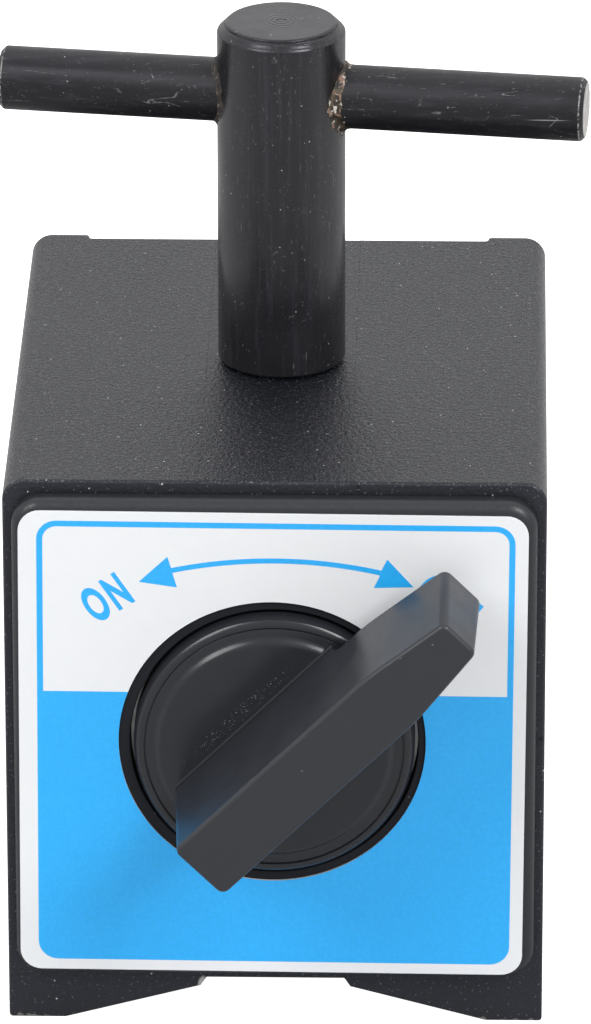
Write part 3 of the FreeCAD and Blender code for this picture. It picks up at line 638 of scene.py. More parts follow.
def shaded_hole_rim():
    """The rim of the cover's hole and the knob's outer edge: a darker, less reflective copy of the plastic as
    painted shade where little light reaches, with dust in it.
    """
    dull, dust = (0.017, 0.018, 0.0225), (0.12, 0.12, 0.125)
    finish = Finish("dull_plastic", dull, 0.6, ior=1.2)
    finish.set("Base Color", finish.dusted(dull, 1.4, 0.09, dust))
    finish.bump(finish.noise(3800, 2.0), 0.01 * MM, 0.7)
    return finish.material


def knob_plastic():
    """Black plastic, glossy on the disc and satin on the lever, painted paler on the lever as painted light, with
    dust and marks in the crease.
    """
    use = colours()
    lever_lit_plastic, dust = tuple(1.4 * c for c in use["plastic"]), (0.35, 0.35, 0.36)
    finish = Finish("gloss_plastic", use["plastic"], 0.3)
    x, y, z = finish.axes()
    # 1 on the lever: satin there, with less dust, and a paler copy of the plastic as painted light.
    lever = finish.ramp(y, KNOB[0].y + 13 * MM, KNOB[0].y + 12 * MM)
    dusty = finish.times(finish.specks(3.0, 0.12), finish.ramp(lever, 0.0, 1.0, 0.8, 0.25))
    crease = finish.near((-3.2 * MM, -33.6 * MM, 33.2 * MM), 8.5 * MM, (1.0, 0.15, 0.1),
                         (0.0, radians(-45), 0.0))
    marks = finish.ramp(finish.noise(6000, 3.0, roughness=0.7), 0.63, 0.66)
    worn = finish.sum("MAXIMUM", dusty, finish.times(crease, marks))
    # Painted light: the lever gets the paler copy of the plastic.
    finish.set("Base Color", finish.blend(worn, finish.blend(lever, use["plastic"], lever_lit_plastic), dust))
    away = finish.radius(x, finish.sum("SUBTRACT", z, BORE.z))
    rim = finish.ramp(away, 10.0 * MM, 11.0 * MM)
    disc = finish.ramp(rim, 0.0, 1.0, 0.18, 0.24)
    uneven = finish.ramp(finish.noise(300, 3.0), 0.3, 0.7, -0.04, 0.04)
    finish.set("Roughness", finish.sum("ADD", uneven, finish.sum("MAXIMUM", disc, finish.times(lever, 0.34))))
    finish.bump(finish.noise(3200, 2.0), 0.003 * MM, 0.7)
    return finish.material


def label_white():
    """White printed vinyl."""
    use = colours()
    shaded = (0.81, 0.825, 0.85)
    finish = Finish("label_white", use["white"], 0.35)
    finish.set("Base Color", finish.blend(finish.noise(700, 3.0), use["white"], shaded))
    finish.bump(finish.noise(1500, 2.0), 0.004 * MM, 0.5)
    return finish.material


def label_blue():
    """Blue ink on the label, with the fine mottle of screen printing."""
    use = colours()
    finish = Finish("label_blue", use["blue"], 0.35)
    mottle = finish.ramp(finish.noise(2600, 3.0, roughness=0.7), 0.35, 0.7)
    light = tuple(min(1.0, 1.08 * c + 0.005) for c in use["blue"])
    finish.set("Base Color", finish.blend(mottle, use["blue"], light))
    finish.bump(finish.noise(1500, 2.0), 0.004 * MM, 0.5)
    return finish.material


def black_oxide(name, axis, ior, dull=0.0):
    """Turned steel blackened with oxide: turning marks round its axis, scratches along it, and dust."""
    use = colours()
    light = tuple(2.2 * c for c in use["oxide"])
    scratched, flecked = (0.2, 0.195, 0.19), (0.16, 0.157, 0.155)
    pale_dust, grey_dust = (0.34, 0.33, 0.32), (0.1, 0.098, 0.1)
    finish = Finish(name, use["oxide"], 0.26, ior=ior, Specular_Tint=(0.93, 0.93, 1.0, 1.0))

    def drawn_out(along, across):
        """Object coordinates scaled by one share along the axis and by another across it."""
        return finish.stretched([along if letter == axis else across for letter in "XYZ"])
    streaks = finish.noise(1800, 4.0, drawn_out(0.05, 1.0), 0.65)
    turning = finish.noise(1400, 2.0, drawn_out(3.0, 0.12))
    patches = finish.noise(220, 4.0)
    base = finish.blend(finish.ramp(streaks, 0.48, 0.7), use["oxide"], light)
    thin = finish.noise(5200, 2.0, drawn_out(0.12, 1.0), 0.6)
    scratches = finish.times(finish.ramp(thin, 0.66, 0.72), finish.ramp(patches, 0.42, 0.6))
    base = finish.blend(finish.times(scratches, 0.45), base, scratched)
    base = finish.dusted(base, 1.3, 0.08, pale_dust)
    base = finish.dusted(base, 0.6, 0.05, grey_dust)
    flecks = finish.ramp(finish.noise(2600, 5.0, roughness=0.75), 0.62, 0.66)
    worn = finish.ramp(finish.noise(420, 2.0), 0.48, 0.6)
    finish.set("Base Color", finish.blend(finish.times(flecks, worn), base, flecked))
    finish.set("Roughness", finish.ramp(patches, 0.3, 0.7, 0.2 + dull, 0.34 + dull))
    finish.bump(turning, 0.006 * MM, 0.7)
    finish.bump(streaks, 0.006 * MM, 0.6)
    return finish


def post_steel():
    """Black oxide with fine turning rings and a centre mark on the top face."""
    finish = black_oxide("post_steel", "Z", 1.6)
    summit, burnt, ring_spacing = POST[1].z, (0.007, 0.004, 0.003), 0.5 * MM
    x, y, height = finish.axes()
    radius = finish.radius(x, y)
    top = finish.ramp(height, summit - 0.3 * MM, summit - 0.1 * MM)
    inner = finish.ramp(radius, 2.2 * MM, 1.2 * MM, 0.06, 1.0)
    stain = finish.near((5.4 * MM, -2.5 * MM, summit - 7.0 * MM), 5 * MM)
    finish.set("Base Color", finish.blend(finish.times(stain, 0.8), finish.base(), burnt))
    rings = finish.sum("SINE", finish.times(radius, 2 * pi / ring_spacing))
    finish.bump(finish.times(rings, finish.times(top, inner)), 0.015 * MM, 0.8)
    chamfer = finish.ramp(height, summit - 1.1 * MM, summit - 0.9 * MM)
    fine = finish.noise(6000, 2.0, finish.stretched((0.03, 0.03, 1.0)))
    finish.bump(finish.times(fine, chamfer), 0.1 * MM)
    dot = finish.times(finish.ramp(radius, 0.3 * MM, 0.6 * MM), top)
    finish.bump(dot, 0.25 * MM, 0.8)
    return finish.material


def bar_steel(sizes):
    """The cross bar's black oxide, with hair scratches, and a bright, patchy line round its ends' edges."""
    finish = black_oxide("bar_steel", "X", 1.47, 0.1)
    bright, rubbed, scratched = (0.3, 0.29, 0.28), (0.26, 0.255, 0.25), (0.3, 0.3, 0.3)
    along = finish.parts(finish.stretched((1, 1, 1), turn=(0, 0, -sizes.bar_turn)))["X"]
    # A bright, patchy line where each end's chamfer meets the round.
    line = finish.gap(finish.gap(along, sizes.bar_offset), sizes.bar_length / 2 - sizes.bar_chamfer)
    patchy = finish.ramp(finish.noise(2400, 4.0, roughness=0.7), 0.42, 0.58)
    worn = finish.times(finish.ramp(line, 0.1 * MM, 0.04 * MM), patchy)
    base = finish.blend(worn, finish.base(), bright)
    thread = finish.gap(finish.noise(420, 1.5, finish.stretched((0.22, 1, 1))), 0.5)
    places = finish.times(finish.ramp(finish.noise(260, 2.0), 0.5, 0.6), patchy)
    hair = finish.times(finish.ramp(thread, 0.006, 0.002), places)
    base = finish.blend(finish.times(hair, 0.7), base, rubbed)
    scratch = finish.near((24.9 * MM, -6.36 * MM, 81.5 * MM), 2.8 * MM, (1.0, 0.03, 0.03),
                          (0.0, radians(-2.5), sizes.bar_turn))
    finish.set("Base Color", finish.blend(scratch, base, scratched))
    return finish.material


def end_steel():
    """The bar's faced ends, bare steel."""
    finish = Finish("end_steel", (0.6, 0.58, 0.56), 0.5, metallic=0.2)
    wear = finish.ramp(finish.noise(1100, 4.0), 0.35, 0.6)
    dark, bright = (0.46, 0.45, 0.44), (0.62, 0.6, 0.58)
    finish.set("Base Color", finish.blend(wear, dark, bright))
    finish.bump(finish.noise(1800, 3.0), 0.01 * MM, 0.7)
    return finish.material


def braze_metal():
    """Brazing: burnt brown scale with brass showing through, and pale flux mostly on the right."""
    use = colours()
    scale, copper = (0.02, 0.015, 0.012), (0.24, 0.145, 0.105)
    flux, soot = (0.62, 0.58, 0.52), (0.012, 0.01, 0.01)
    finish = Finish("braze_metal", use["braze"], 0.5)
    burnt = finish.ramp(finish.noise(1100, 5.0, roughness=0.7), 0.46, 0.6)
    base = finish.blend(burnt, scale, use["braze"])
    base = finish.blend(finish.ramp(finish.noise(800, 3.0, roughness=0.6), 0.52, 0.58), base, copper)
    base = finish.blend(finish.ramp(finish.noise(1900, 4.0, roughness=0.65), 0.57, 0.62), base, flux)
    right = finish.ramp(finish.axes()["X"], 0.0, 4 * MM, 0.2, 1.0)
    finish.set("Base Color", finish.blend(right, soot, base))
    finish.set("Metallic", finish.times(burnt, 0.4))
    finish.bump(finish.noise(1400, 5.0, roughness=0.7), 0.15 * MM)
    return finish.material


def plain_metal(name, base, roughness):
    """Machined metal with fine marks and uneven sheen."""
    finish = Finish(name, base, roughness, metallic=1.0)
    marks = finish.noise(1500, 4.0)
    darker = tuple(0.8 * c for c in base)
    finish.set("Base Color", finish.blend(marks, darker, base))
    finish.set("Roughness", finish.ramp(marks, 0.3, 0.7, roughness - 0.07, roughness + 0.08))
    finish.bump(marks, 0.006 * MM, 0.7)
    return finish.material


def plain_matter(name, base, roughness):
    """Rubber, plastic or sintered ferrite with a fine grain."""
    finish = Finish(name, base, roughness)
    marks = finish.noise(1800, 4.0)
    lighter = tuple(min(1.0, 1.25 * c + 0.004) for c in base)
    finish.set("Base Color", finish.blend(marks, base, lighter))
    finish.bump(marks, 0.01 * MM, 0.7)
    return finish.material


@cache
def inner_finishes():
    """A finish for each material slot of the pieces that stay as their CAD solids."""
    use = colours()
    return {
        "screw_steel": plain_metal("screw_zinc", use["zinc"], 0.32),
        "pin_steel": plain_metal("pin_ground", use["steel"], 0.22),
        "rotor_steel": plain_metal("rotor_steel", use["steel"], 0.36),
        "plate_aluminium": plain_metal("plate_aluminium", use["aluminium"], 0.35),
        "bush_brass": plain_metal("bush_brass", use["brass"], 0.28),
        "seal_rubber": plain_matter("seal_rubber", use["rubber"], 0.6),
        "washer_plastic": plain_matter("washer_plastic", use["washer"], 0.5),
        "magnet_ferrite": plain_matter("magnet_ferrite", use["ferrite"], 0.55),
    }


@cache
def finish_of(maker):
    """A finish made once and shared."""
    return maker()


# The block

def pole_outline(sizes):
    """The right pole's end outline, from the top seam down the bore's side and round the foot."""
    bore, seam, slot = sizes.bore_radius, TOP_SEPARATOR[1].x, BOTTOM_SEPARATOR[1].x
    upper = asin(seam / bore)
    lower = asin(slot / bore)
    side, top = BODY_HIGH.x, BODY_HIGH.z
    foot = side - sizes.foot_width
    step = slot + sizes.slot_step
    step_height = (foot - step) * tan(sizes.v_slope)
    shoulder = (side - sizes.top_round, top - sizes.top_round)
    outline = arc_points((BORE.x, BORE.z), bore, pi / 2 - upper, lower - pi / 2, 64)
    outline += [(slot, BOTTOM_SEPARATOR[0].z), (step, step_height), (foot, 0.0), (side, 0.0)]
    outline += arc_points(shoulder, sizes.top_round, 0.0, pi / 2, 12)
    outline.append((seam, top))
    return outline


def painted_edge(sizes):
    """Gives the edges along the separators and the bore a smaller round than the others."""
    small = sizes.seam_round / sizes.edge_round
    seams = (TOP_SEPARATOR[1].x, BOTTOM_SEPARATOR[1].x)

    def weight(edge):
        middle = (edge.verts[0].co + edge.verts[1].co) / 2
        on_seam = any(abs(abs(middle.x) - seam) < 0.05 * MM for seam in seams)
        from_axis = Vector((middle.x - BORE.x, middle.z - BORE.z)).length
        in_bore = from_axis < sizes.bore_radius + 0.1 * MM
        return small if on_seam or in_bore else 1.0
    return weight


def make_block(sizes):
    """The two poles and the two separators."""
    bore, beyond = sizes.bore_radius, 1 * MM
    side, top = BODY_HIGH.x - sizes.rail_width, BODY_HIGH.z + beyond
    recess = [(-side, -beyond), (side, -beyond), (side, top), (-side, top)]
    pieces = []
    for hand, name, node in ((1, "pole_right", "right_pole"), (-1, "pole_left", "left_pole")):
        mirrored = [(hand * x, z) for x, z in pole_outline(sizes)]
        pole = thing(name, prism(mirrored, BODY_LOW.y, BODY_HIGH.y))
        combine(pole, thing("recess", prism(recess, TOP_SEPARATOR[1].y, BODY_HIGH.y + beyond)), "DIFFERENCE")
        pieces.append((pole, node))
    for name, node, box, up in (("separator_top", "top_separator", TOP_SEPARATOR, 1),
                                ("separator_bottom", "bottom_separator", BOTTOM_SEPARATOR, -1)):
        half, far = box[1].x, box[1].z if up > 0 else box[0].z
        reach = asin(half / bore)
        outline = arc_points((BORE.x, BORE.z), bore, up * pi / 2 - reach, up * pi / 2 + reach, 24)
        outline += [(-up * half, far), (up * half, far)]
        pieces.append((thing(name, prism(outline, box[0].y, box[1].y)), node))
    for piece, node in pieces:
        soften(piece, sizes.edge_round, painted_edge(sizes))
        smooth(piece)
        settle(piece, "block", "body_paint", [node], finish_of(body_paint))


# Covers, screws and label

def facing(box):
    """The width, the height and the middle of a box as seen along Y."""
    low, high = box
    return high.x - low.x, high.z - low.z, ((low.x + high.x) / 2, (low.z + high.z) / 2)


def stacked(box, corner, profile):
    """Loops of a box's rounded outline facing along Y, one for each (inset, y) of a profile."""
    width, height, centre = facing(box)
    return [upright(turned(rounded_box(width, height, corner, inset), 0.0, centre), y) for inset, y in profile]


def bored(radius, centre, profile, count=128):
    """Loops of a round hole facing along Y, one for each (extra radius, y) of a profile."""
    return [upright(circle(radius + extra, centre, count), y) for extra, y in profile]


def make_front_cover(sizes, knob):
    """The cover plate with a rounded front edge and the hole for the knob."""
    front, back, edge = COVER[0].y, COVER[1].y, sizes.edge_round
    chamfer, lip = 0.1 * MM, 0.2 * MM
    profile = [(chamfer, back), (0.0, back - chamfer)]
    profile += [(edge - edge * cos(t), front + edge - edge * sin(t)) for t in quarter(8)]
    rim = [(0.0, back), (0.0, front + lip), (0.3 * lip, front + 0.3 * lip), (lip, front),
           (sizes.shaded_hole_rim, front)]
    opening = knob.radius + sizes.hole_gap
    hole = bored(opening, (BORE.x, BORE.z), rim)
    cover = thing("cover_front", plate(stacked(COVER, sizes.corner, profile), [hole]))
    smooth(cover)
    settle(cover, "block", "cover_plastic", ["front_cover"], finish_of(cover_plastic), finish_of(shaded_hole_rim))
    # Painted shade: the ring round the hole gets the darker rim finish.
    repaint(cover, 1, lambda away, y: away < opening + sizes.shaded_hole_rim)


def make_rear_cover(sizes):
    """The sheet cover on the back, with four countersunk holes."""
    inner, outer, edge = REAR_COVER[0].y, REAR_COVER[1].y, sizes.rear_edge
    profile = [(0.0, inner)]
    profile += [(edge - edge * cos(t), outer - edge + edge * sin(t)) for t in quarter(5)]
    taper = [(inner - outer, inner), (0.05 * MM, outer)]
    width, height, centre = facing(REAR_COVER)
    x, z = width / 2 - sizes.rear_inset, height / 2 - sizes.rear_inset
    holes = []
    for right, up in ((-x, -z), (-x, z), (x, -z), (x, z)):
        place = (centre[0] + right, centre[1] + up)
        holes.append(bored(sizes.rear_screw * sizes.countersink, place, taper, 40))
    cover = thing("cover_rear", plate(stacked(REAR_COVER, sizes.rear_corner, profile), holes))
    smooth(cover)
    settle(cover, "block", "body_paint", ["rear_cover"], finish_of(body_paint))


def screw_blank(radius, reach, countersink):
    """One countersunk screw with a six-sided socket, its head at the origin and facing up."""
    head, point, socket = radius * countersink, 0.8 * radius, 0.62 * radius
    depth = head - radius
    bm = bmesh.new()
    levels = [(point, -reach), (radius, -reach + 0.2 * radius), (radius, -depth), (head, -0.1 * MM),
              (head - 0.05 * MM, 0.0)]
    rows = add_loops(bm, [[Vector((x, y, z)) for x, y in circle(r, count=36)] for r, z in levels])
    hexagon = circle(socket, count=6)
    walls = add_loops(bm, [[Vector((x, y, z)) for x, y in hexagon] for z in (0.0, -0.8 * depth)])
    bmesh.ops.triangle_fill(bm, edges=ring_edges(bm, rows[-1]) + ring_edges(bm, walls[0]), use_beauty=True)
    return thing("screw_blank", capped(bm, rows[0], walls[1]))


class ShapeTree(Tree):
    """A geometry node group in the making, with named inputs."""

    def __init__(self, name, **inputs):
        super().__init__(bpy.data.node_groups.new(name, "GeometryNodeTree"))
        self.tree.interface.new_socket("Geometry", in_out="OUTPUT", socket_type="NodeSocketGeometry")
        for label, kind in inputs.items():
            self.tree.interface.new_socket(label.replace("_", " "), in_out="INPUT",
                                           socket_type="NodeSocket" + kind)
        self.given = self.add("NodeGroupInput").outputs

    def finished(self, geometry, **place):
        """The group, once its shape is moved into place, made real and given its material."""
        moved = self.add("GeometryNodeTransform", {"Geometry": geometry, **place})
        real = self.add("GeometryNodeRealizeInstances", {"Geometry": moved.outputs["Geometry"]})
        dressed = self.add("GeometryNodeSetMaterial", {"Geometry": real.outputs["Geometry"],
                                                       "Material": self.given["Material"]})
        self.add("NodeGroupOutput", {"Geometry": dressed.outputs["Geometry"]})
        return self.tree


def screw_pattern():
    """Geometry nodes: a screw at each corner of a rectangle that faces along Y."""
    shape = ShapeTree("screw_pattern", Screw="Object", Across="Float", Up="Float", Centre="Vector",
                      Turn="Rotation", Material="Material")
    given = shape.given
    grid = shape.add("GeometryNodeMeshGrid", {"Size X": given["Across"], "Size Y": given["Up"],
                                              "Vertices X": 2, "Vertices Y": 2})
    screw = shape.add("GeometryNodeObjectInfo", {"Object": given["Screw"]})
    placed = shape.add("GeometryNodeInstanceOnPoints", {"Points": grid.outputs["Mesh"],
                                                        "Instance": screw.outputs["Geometry"]})
    return shape.finished(placed.outputs["Instances"], Translation=given["Centre"], Rotation=given["Turn"])


def grown(name, tree, **values):
    """A plain mesh object from a geometry tree with the given inputs."""
    obj = linked(name, bpy.data.meshes.new(name))
    modifier = obj.modifiers.new("grown", "NODES")
    modifier.node_group = tree
    for item in tree.interface.items_tree:
        if item.in_out == "INPUT":
            modifier[item.identifier] = values[item.name.replace(" ", "_").lower()]
    bake(obj)
    obj.data.materials.pop(index=0)
    return obj


def make_cover_screws(sizes):
    """The screws of both covers."""
    tree = screw_pattern()
    jobs = (("screws_front", "front_cover_screws", COVER, COVER[0].y, 90.0, sizes.front_inset,
             sizes.front_screw, sizes.front_length),
            ("screws_rear", "rear_cover_screws", REAR_COVER, REAR_COVER[1].y, -90.0, sizes.rear_inset,
             sizes.rear_screw, sizes.rear_length))
    for name, node, box, face, turn, inset, radius, reach in jobs:
        blank = screw_blank(radius, reach, sizes.countersink)
        width, height, centre = facing(box)
        screws = grown(name, tree, screw=blank, across=width - 2 * inset, up=height - 2 * inset,
                       turn=(radians(turn), 0.0, 0.0), centre=(centre[0], face, centre[1]),
                       material=inner_finishes()["screw_steel"])
        bpy.data.objects.remove(blank)
        smooth(screws)
        settle(screws, "block", "screw_steel", [node])


def blue_field(sizes, turn, centre):
    """The blue border and lower field: its outline, and the white window joined to the knob's hole."""
    width, height, line = sizes.print_width, sizes.print_height, sizes.line
    outer = turned(rounded_box(width, height, sizes.print_corner), turn, centre)
    hole = (BORE.x - sizes.offset, BORE.z)
    x, top, split = width / 2 - line, height / 2 - line, sizes.split
    corner = sizes.print_corner - line
    left, right = turned([(-x, split), (x, split)], turn, centre)
    slope = atan2(right[1] - left[1], right[0] - left[0])
    rise = left[1] + (hole[0] - left[0]) * tan(slope) - hole[1]
    reach = asin(rise * cos(slope) / sizes.hole)
    lower_arc = arc_points(hole, sizes.hole, pi - reach + slope, 2 * pi + reach + slope, 72)
    upper = rounded([(x, split), (x, top), (-x, top), (-x, split)], [0, corner, corner, 0])
    window = lower_arc + turned(upper, turn, centre)
    return outer, window


def arrow_outline(sizes):
    """The double arrow as one outline, from the right tip round over the arc to the left and back."""
    axis = Vector((BORE.x, BORE.z))
    centre = axis + Vector((0.0, sizes.arc_top - sizes.arc_radius))
    heads, turns = [], []
    for side in ("right", "left"):
        head = [axis + Vector(getattr(sizes, f"{side}_{corner}")) for corner in ("tip", "upper", "lower")]
        joint = (head[1] + head[2]) / 2 - centre
        turns.append(atan2(joint.y, joint.x))
        heads += head
    right_tip, right_upper, right_lower, left_tip, left_upper, left_lower = heads
    half = sizes.arc_line / 2
    over = arc_points(centre, sizes.arc_radius + half, *turns, 40)
    under = arc_points(centre, sizes.arc_radius - half, *turns, 40)
    return [right_tip, right_upper, *over, left_upper, left_tip, left_lower, *under[::-1], right_lower]


def switch_word(word, sizes, place, lean, width, front):
    """One word of the switch as a thin solid, standing upright and facing the front."""
    curve = bpy.data.curves.new(word, "FONT")
    curve.body = word
    curve.align_x = "CENTER"
    curve.align_y = "CENTER"
    curve.size = sizes.letter_height / CAPITALS
    curve.extrude = sizes.ink / 2
    curve.offset = sizes.letter_bold
    curve.space_character = sizes.letter_space
    holder = linked(word, curve)
    graph = bpy.context.evaluated_depsgraph_get()
    mesh = bpy.data.meshes.new_from_object(holder.evaluated_get(graph))
    bpy.data.objects.remove(holder)
    narrow = Matrix.Diagonal((width, sizes.letter_stretch, 1.0, 1.0))
    stand = Matrix.Rotation(pi / 2, 4, "X")
    turn = Matrix.Rotation(-lean, 4, "Y")
    move = Matrix.Translation((BORE.x + place[0], front + sizes.ink / 2, BORE.z + place[1]))
    mesh.transform(move @ turn @ stand @ narrow)
    return linked(f"label_{word.lower()}", mesh)


def make_label(sizes):
    """The white sheet, the blue print and the words of the switch."""
    back, front, edge = COVER[0].y, LABEL[0].y, 0.03 * MM
    middle = (-sizes.offset, (COVER[0].z + COVER[1].z) / 2 - sizes.drop)
    loops = []
    for inset, y in ((0.0, back), (0.0, front + edge), (edge, front)):
        outline = rounded_box(sizes.width, sizes.height, sizes.corner, inset)
        loops.append(upright(turned(outline, -sizes.skew, middle), y))
    hole = bored(sizes.hole, (BORE.x - sizes.offset, BORE.z), [(0.0, back), (0.0, front)])
    sheet = thing("label_sheet", plate(loops, [hole]))
    smooth(sheet)
    settle(sheet, "block", "label_print", ["front_label"], finish_of(label_white))

    def film(outline):
        """The two loops of a printed film on the sheet."""
        return [upright(outline, front), upright(outline, front - sizes.ink)]
    outer, window = blue_field(sizes, -sizes.skew, (sizes.print_shift, sizes.print_middle))
    prints = [thing("label_field", plate(film(outer), [film(window)])),
              thing("label_arrow", plate(film(arrow_outline(sizes))))]
    for word, place, lean, width in (("ON", sizes.on_place, sizes.on_lean, sizes.on_width),
                                     ("OFF", sizes.off_place, sizes.off_lean, sizes.off_width)):
        prints.append(switch_word(word, sizes, place, lean, width, front - sizes.ink))
    for piece in prints:
        settle(piece, "block", "label_print", [], finish_of(label_blue))


# Knob

def spread(corners, distance):
    """The corners of a convex outline, given anticlockwise, with every side moved out by a distance."""
    normals = []
    for here, ahead in zip(corners, corners[1:] + corners[:1]):
        along = ahead - here
        normals.append(Vector((along.y, -along.x)).normalized())
    moved = []
    for corner, before, after in zip(corners, normals[-1:] + normals[:-1], normals):
        moved.append(corner + (before + after) * distance / (1 + before.dot(after)))
    return moved


def lever_loop(sizes, y, front, inset):
    """The lever's outline at a depth: parallel sides that close in to the tip, leaning out to the disc."""
    wide, narrow = sizes.lever_width / 2, sizes.tip_width / 2
    half = [(-sizes.lever_tail, -wide), (sizes.lever_bend, -wide), (sizes.lever_tip, -narrow)]
    corners = [Vector(point) for point in half + [(x, -z) for x, z in reversed(half)]]
    moved = spread(corners, (y - front) * tan(sizes.draft) - inset)
    end, bend = max(sizes.corner - inset, 0.1 * MM), sizes.bend_round
    outline = rounded(moved, [end, bend, end, end, bend, end])
    return upright(turned(outline, sizes.lever_angle, (BORE.x, BORE.z)), y)


def disc_profile(sizes, back, flange, face):
    """The disc's (radius, y) points, from the axis at the back round the rim and the groove to the front."""
    outer = sizes.groove_radius + sizes.groove_width / 2
    inner = sizes.groove_radius - sizes.groove_width / 2
    floor, ledge = flange + sizes.groove_depth, flange + sizes.ledge
    r, s = sizes.radius, sizes.shoulder
    chamfer, lip, flat = 0.2 * MM, 0.08 * MM, 0.3 * MM
    profile = [(0.0, back), (r - chamfer, back), (r, back - chamfer)]
    profile += fillet((r - s, flange + s), s, 0, -90, 12)
    profile += fillet((outer + lip, flange + lip), lip, -90, -180, 3)
    profile += [(outer, floor), (inner, floor)]
    profile += fillet((inner - lip, ledge + lip), lip, 0, -90, 3)
    for t in [i / 12 for i in range(13)]:
        share = (1 - cos(pi * t)) / 2
        away = sizes.rise_start + (sizes.rise_end - sizes.rise_start) * t
        profile.append((away, ledge + (face - ledge) * share))
    return profile + [(sizes.rise_end - flat, face), (0.0, face)]


def make_lever(sizes, flange, face):
    """The drafted lever with rounded edges, cut away behind its tip."""
    front, e, f = KNOB[0].y, sizes.edge, sizes.root_round
    rim = [(e - e * sin(t), front + e - e * cos(t)) for t in quarter(6)]
    rim += [(f * cos(t) - f, face - f + f * sin(t)) for t in quarter(6)]
    rim.append((-f, flange + sizes.shoulder))
    lever = thing("lever", plate([lever_loop(sizes, y, front, inset) for inset, y in rim]))

    under = COVER[0].y - sizes.tip_clearance
    reach, neck, wide = sizes.lever_tip * 1.5, sizes.neck, 12 * MM
    corners = [(neck, 0.0), (neck, under), (reach, under), (reach, 0.0)]
    profile = rounded(corners, [0, sizes.neck_round, 0, 0], 10)
    bm = bmesh.new()
    capped(bm, *add_loops(bm, [[Vector((x, y, z)) for x, y in profile] for z in (-wide, wide)]))
    bmesh.ops.rotate(bm, verts=bm.verts, cent=(0, 0, 0), matrix=Matrix.Rotation(-sizes.lever_angle, 3, "Y"))
    bmesh.ops.translate(bm, verts=bm.verts, vec=(BORE.x, 0.0, BORE.z))
    combine(lever, thing("relief", bm), "DIFFERENCE")
    return lever


def make_knob(sizes):
    """The knob: a stepped disc with a fine groove, and a drafted lever across it."""
    flange = COVER[0].y - sizes.proud
    face = flange - sizes.face_proud
    knob = thing("knob_lever", lathe(disc_profile(sizes, BODY_LOW.y - sizes.back, flange, face)))
    combine(knob, make_lever(sizes, flange, face), "UNION")
    smooth(knob, 42.0)
    settle(knob, "rotor", "knob_plastic", ["knob"], finish_of(knob_plastic), finish_of(shaded_hole_rim))
    # Painted shade: the flange's outer edge gets the darker rim finish too.
    shaded_from = sizes.radius - 0.28 * sizes.shoulder
    repaint(knob, 1, lambda away, y: away > shaded_from and y > flange)


# Post and cross bar

@cache
def turned_bar():
    """Geometry nodes: a round bar up from the origin with a chamfer at each end."""
    shape = ShapeTree("turned_bar", Radius="Float", Length="Float", Foot_Chamfer="Float",
                      Top_Chamfer="Float", Segments="Int", Material="Material")
    given = shape.given
    radius, foot, top = given["Radius"], given["Foot Chamfer"], given["Top Chamfer"]
    straight = shape.sum("SUBTRACT", given["Length"], shape.sum("ADD", foot, top))
    core = shape.add("GeometryNodeMeshCylinder", {"Vertices": given["Segments"], "Radius": radius,
                                                  "Depth": straight}, fill_type="NGON")
    geometry = core.outputs["Mesh"]
    for end, chamfer in (("Top", top), ("Bottom", foot)):
        drawn = shape.add("GeometryNodeExtrudeMesh", {"Mesh": geometry, "Selection": core.outputs[end],
                                                      "Offset Scale": chamfer, "Individual": False})
        share = shape.sum("DIVIDE", shape.sum("SUBTRACT", radius, chamfer), radius)
        shrunk = shape.add("GeometryNodeScaleElements", {"Geometry": drawn.outputs["Mesh"],
                                                         "Selection": drawn.outputs["Top"], "Scale": share})
        geometry = shrunk.outputs["Geometry"]
    lift = shape.add("ShaderNodeCombineXYZ", {"Z": shape.sum("ADD", shape.times(straight, 0.5), foot)})
    return shape.finished(geometry, Translation=lift.outputs[0])


def make_post(sizes):
    """The post, with a chamfered top."""
    low, high = POST
    post = grown("post_round", turned_bar(), radius=sizes.radius, length=high.z - low.z, segments=128,
                 foot_chamfer=sizes.foot_chamfer, top_chamfer=sizes.top_chamfer, material=finish_of(post_steel))
    soften(post, sizes.edge)
    smooth(post)
    post.data.transform(Matrix.Translation((0.0, 0.0, low.z)))
    settle(post, "block", "black_steel", ["post"])


def bar_place(sizes):
    """Turns what lies along X at the origin to the bar's direction, and lifts it to the bar's height."""
    height = Matrix.Translation((0.0, 0.0, POST[1].z - sizes.bar_drop))
    return height @ Matrix.Rotation(sizes.bar_turn, 4, "Z")


def make_bar(sizes):
    """The cross bar, with its faced ends lighter."""
    bar = grown("bar_cross", turned_bar(), radius=sizes.bar_radius, length=sizes.bar_length, segments=96,
                foot_chamfer=sizes.bar_chamfer, top_chamfer=sizes.bar_chamfer, material=bar_steel(sizes))
    bar.data.materials.append(finish_of(end_steel))
    for face in bar.data.polygons:
        if abs(face.normal.z) > 0.99:
            face.material_index = len(bar.data.materials) - 1
    soften(bar, sizes.edge)
    smooth(bar)
    start = Matrix.Translation((sizes.bar_offset - sizes.bar_length / 2, 0.0, 0.0))
    bar.data.transform(bar_place(sizes) @ start @ Matrix.Rotation(pi / 2, 4, "Y"))
    settle(bar, "block", "black_steel", ["cross_bar"])


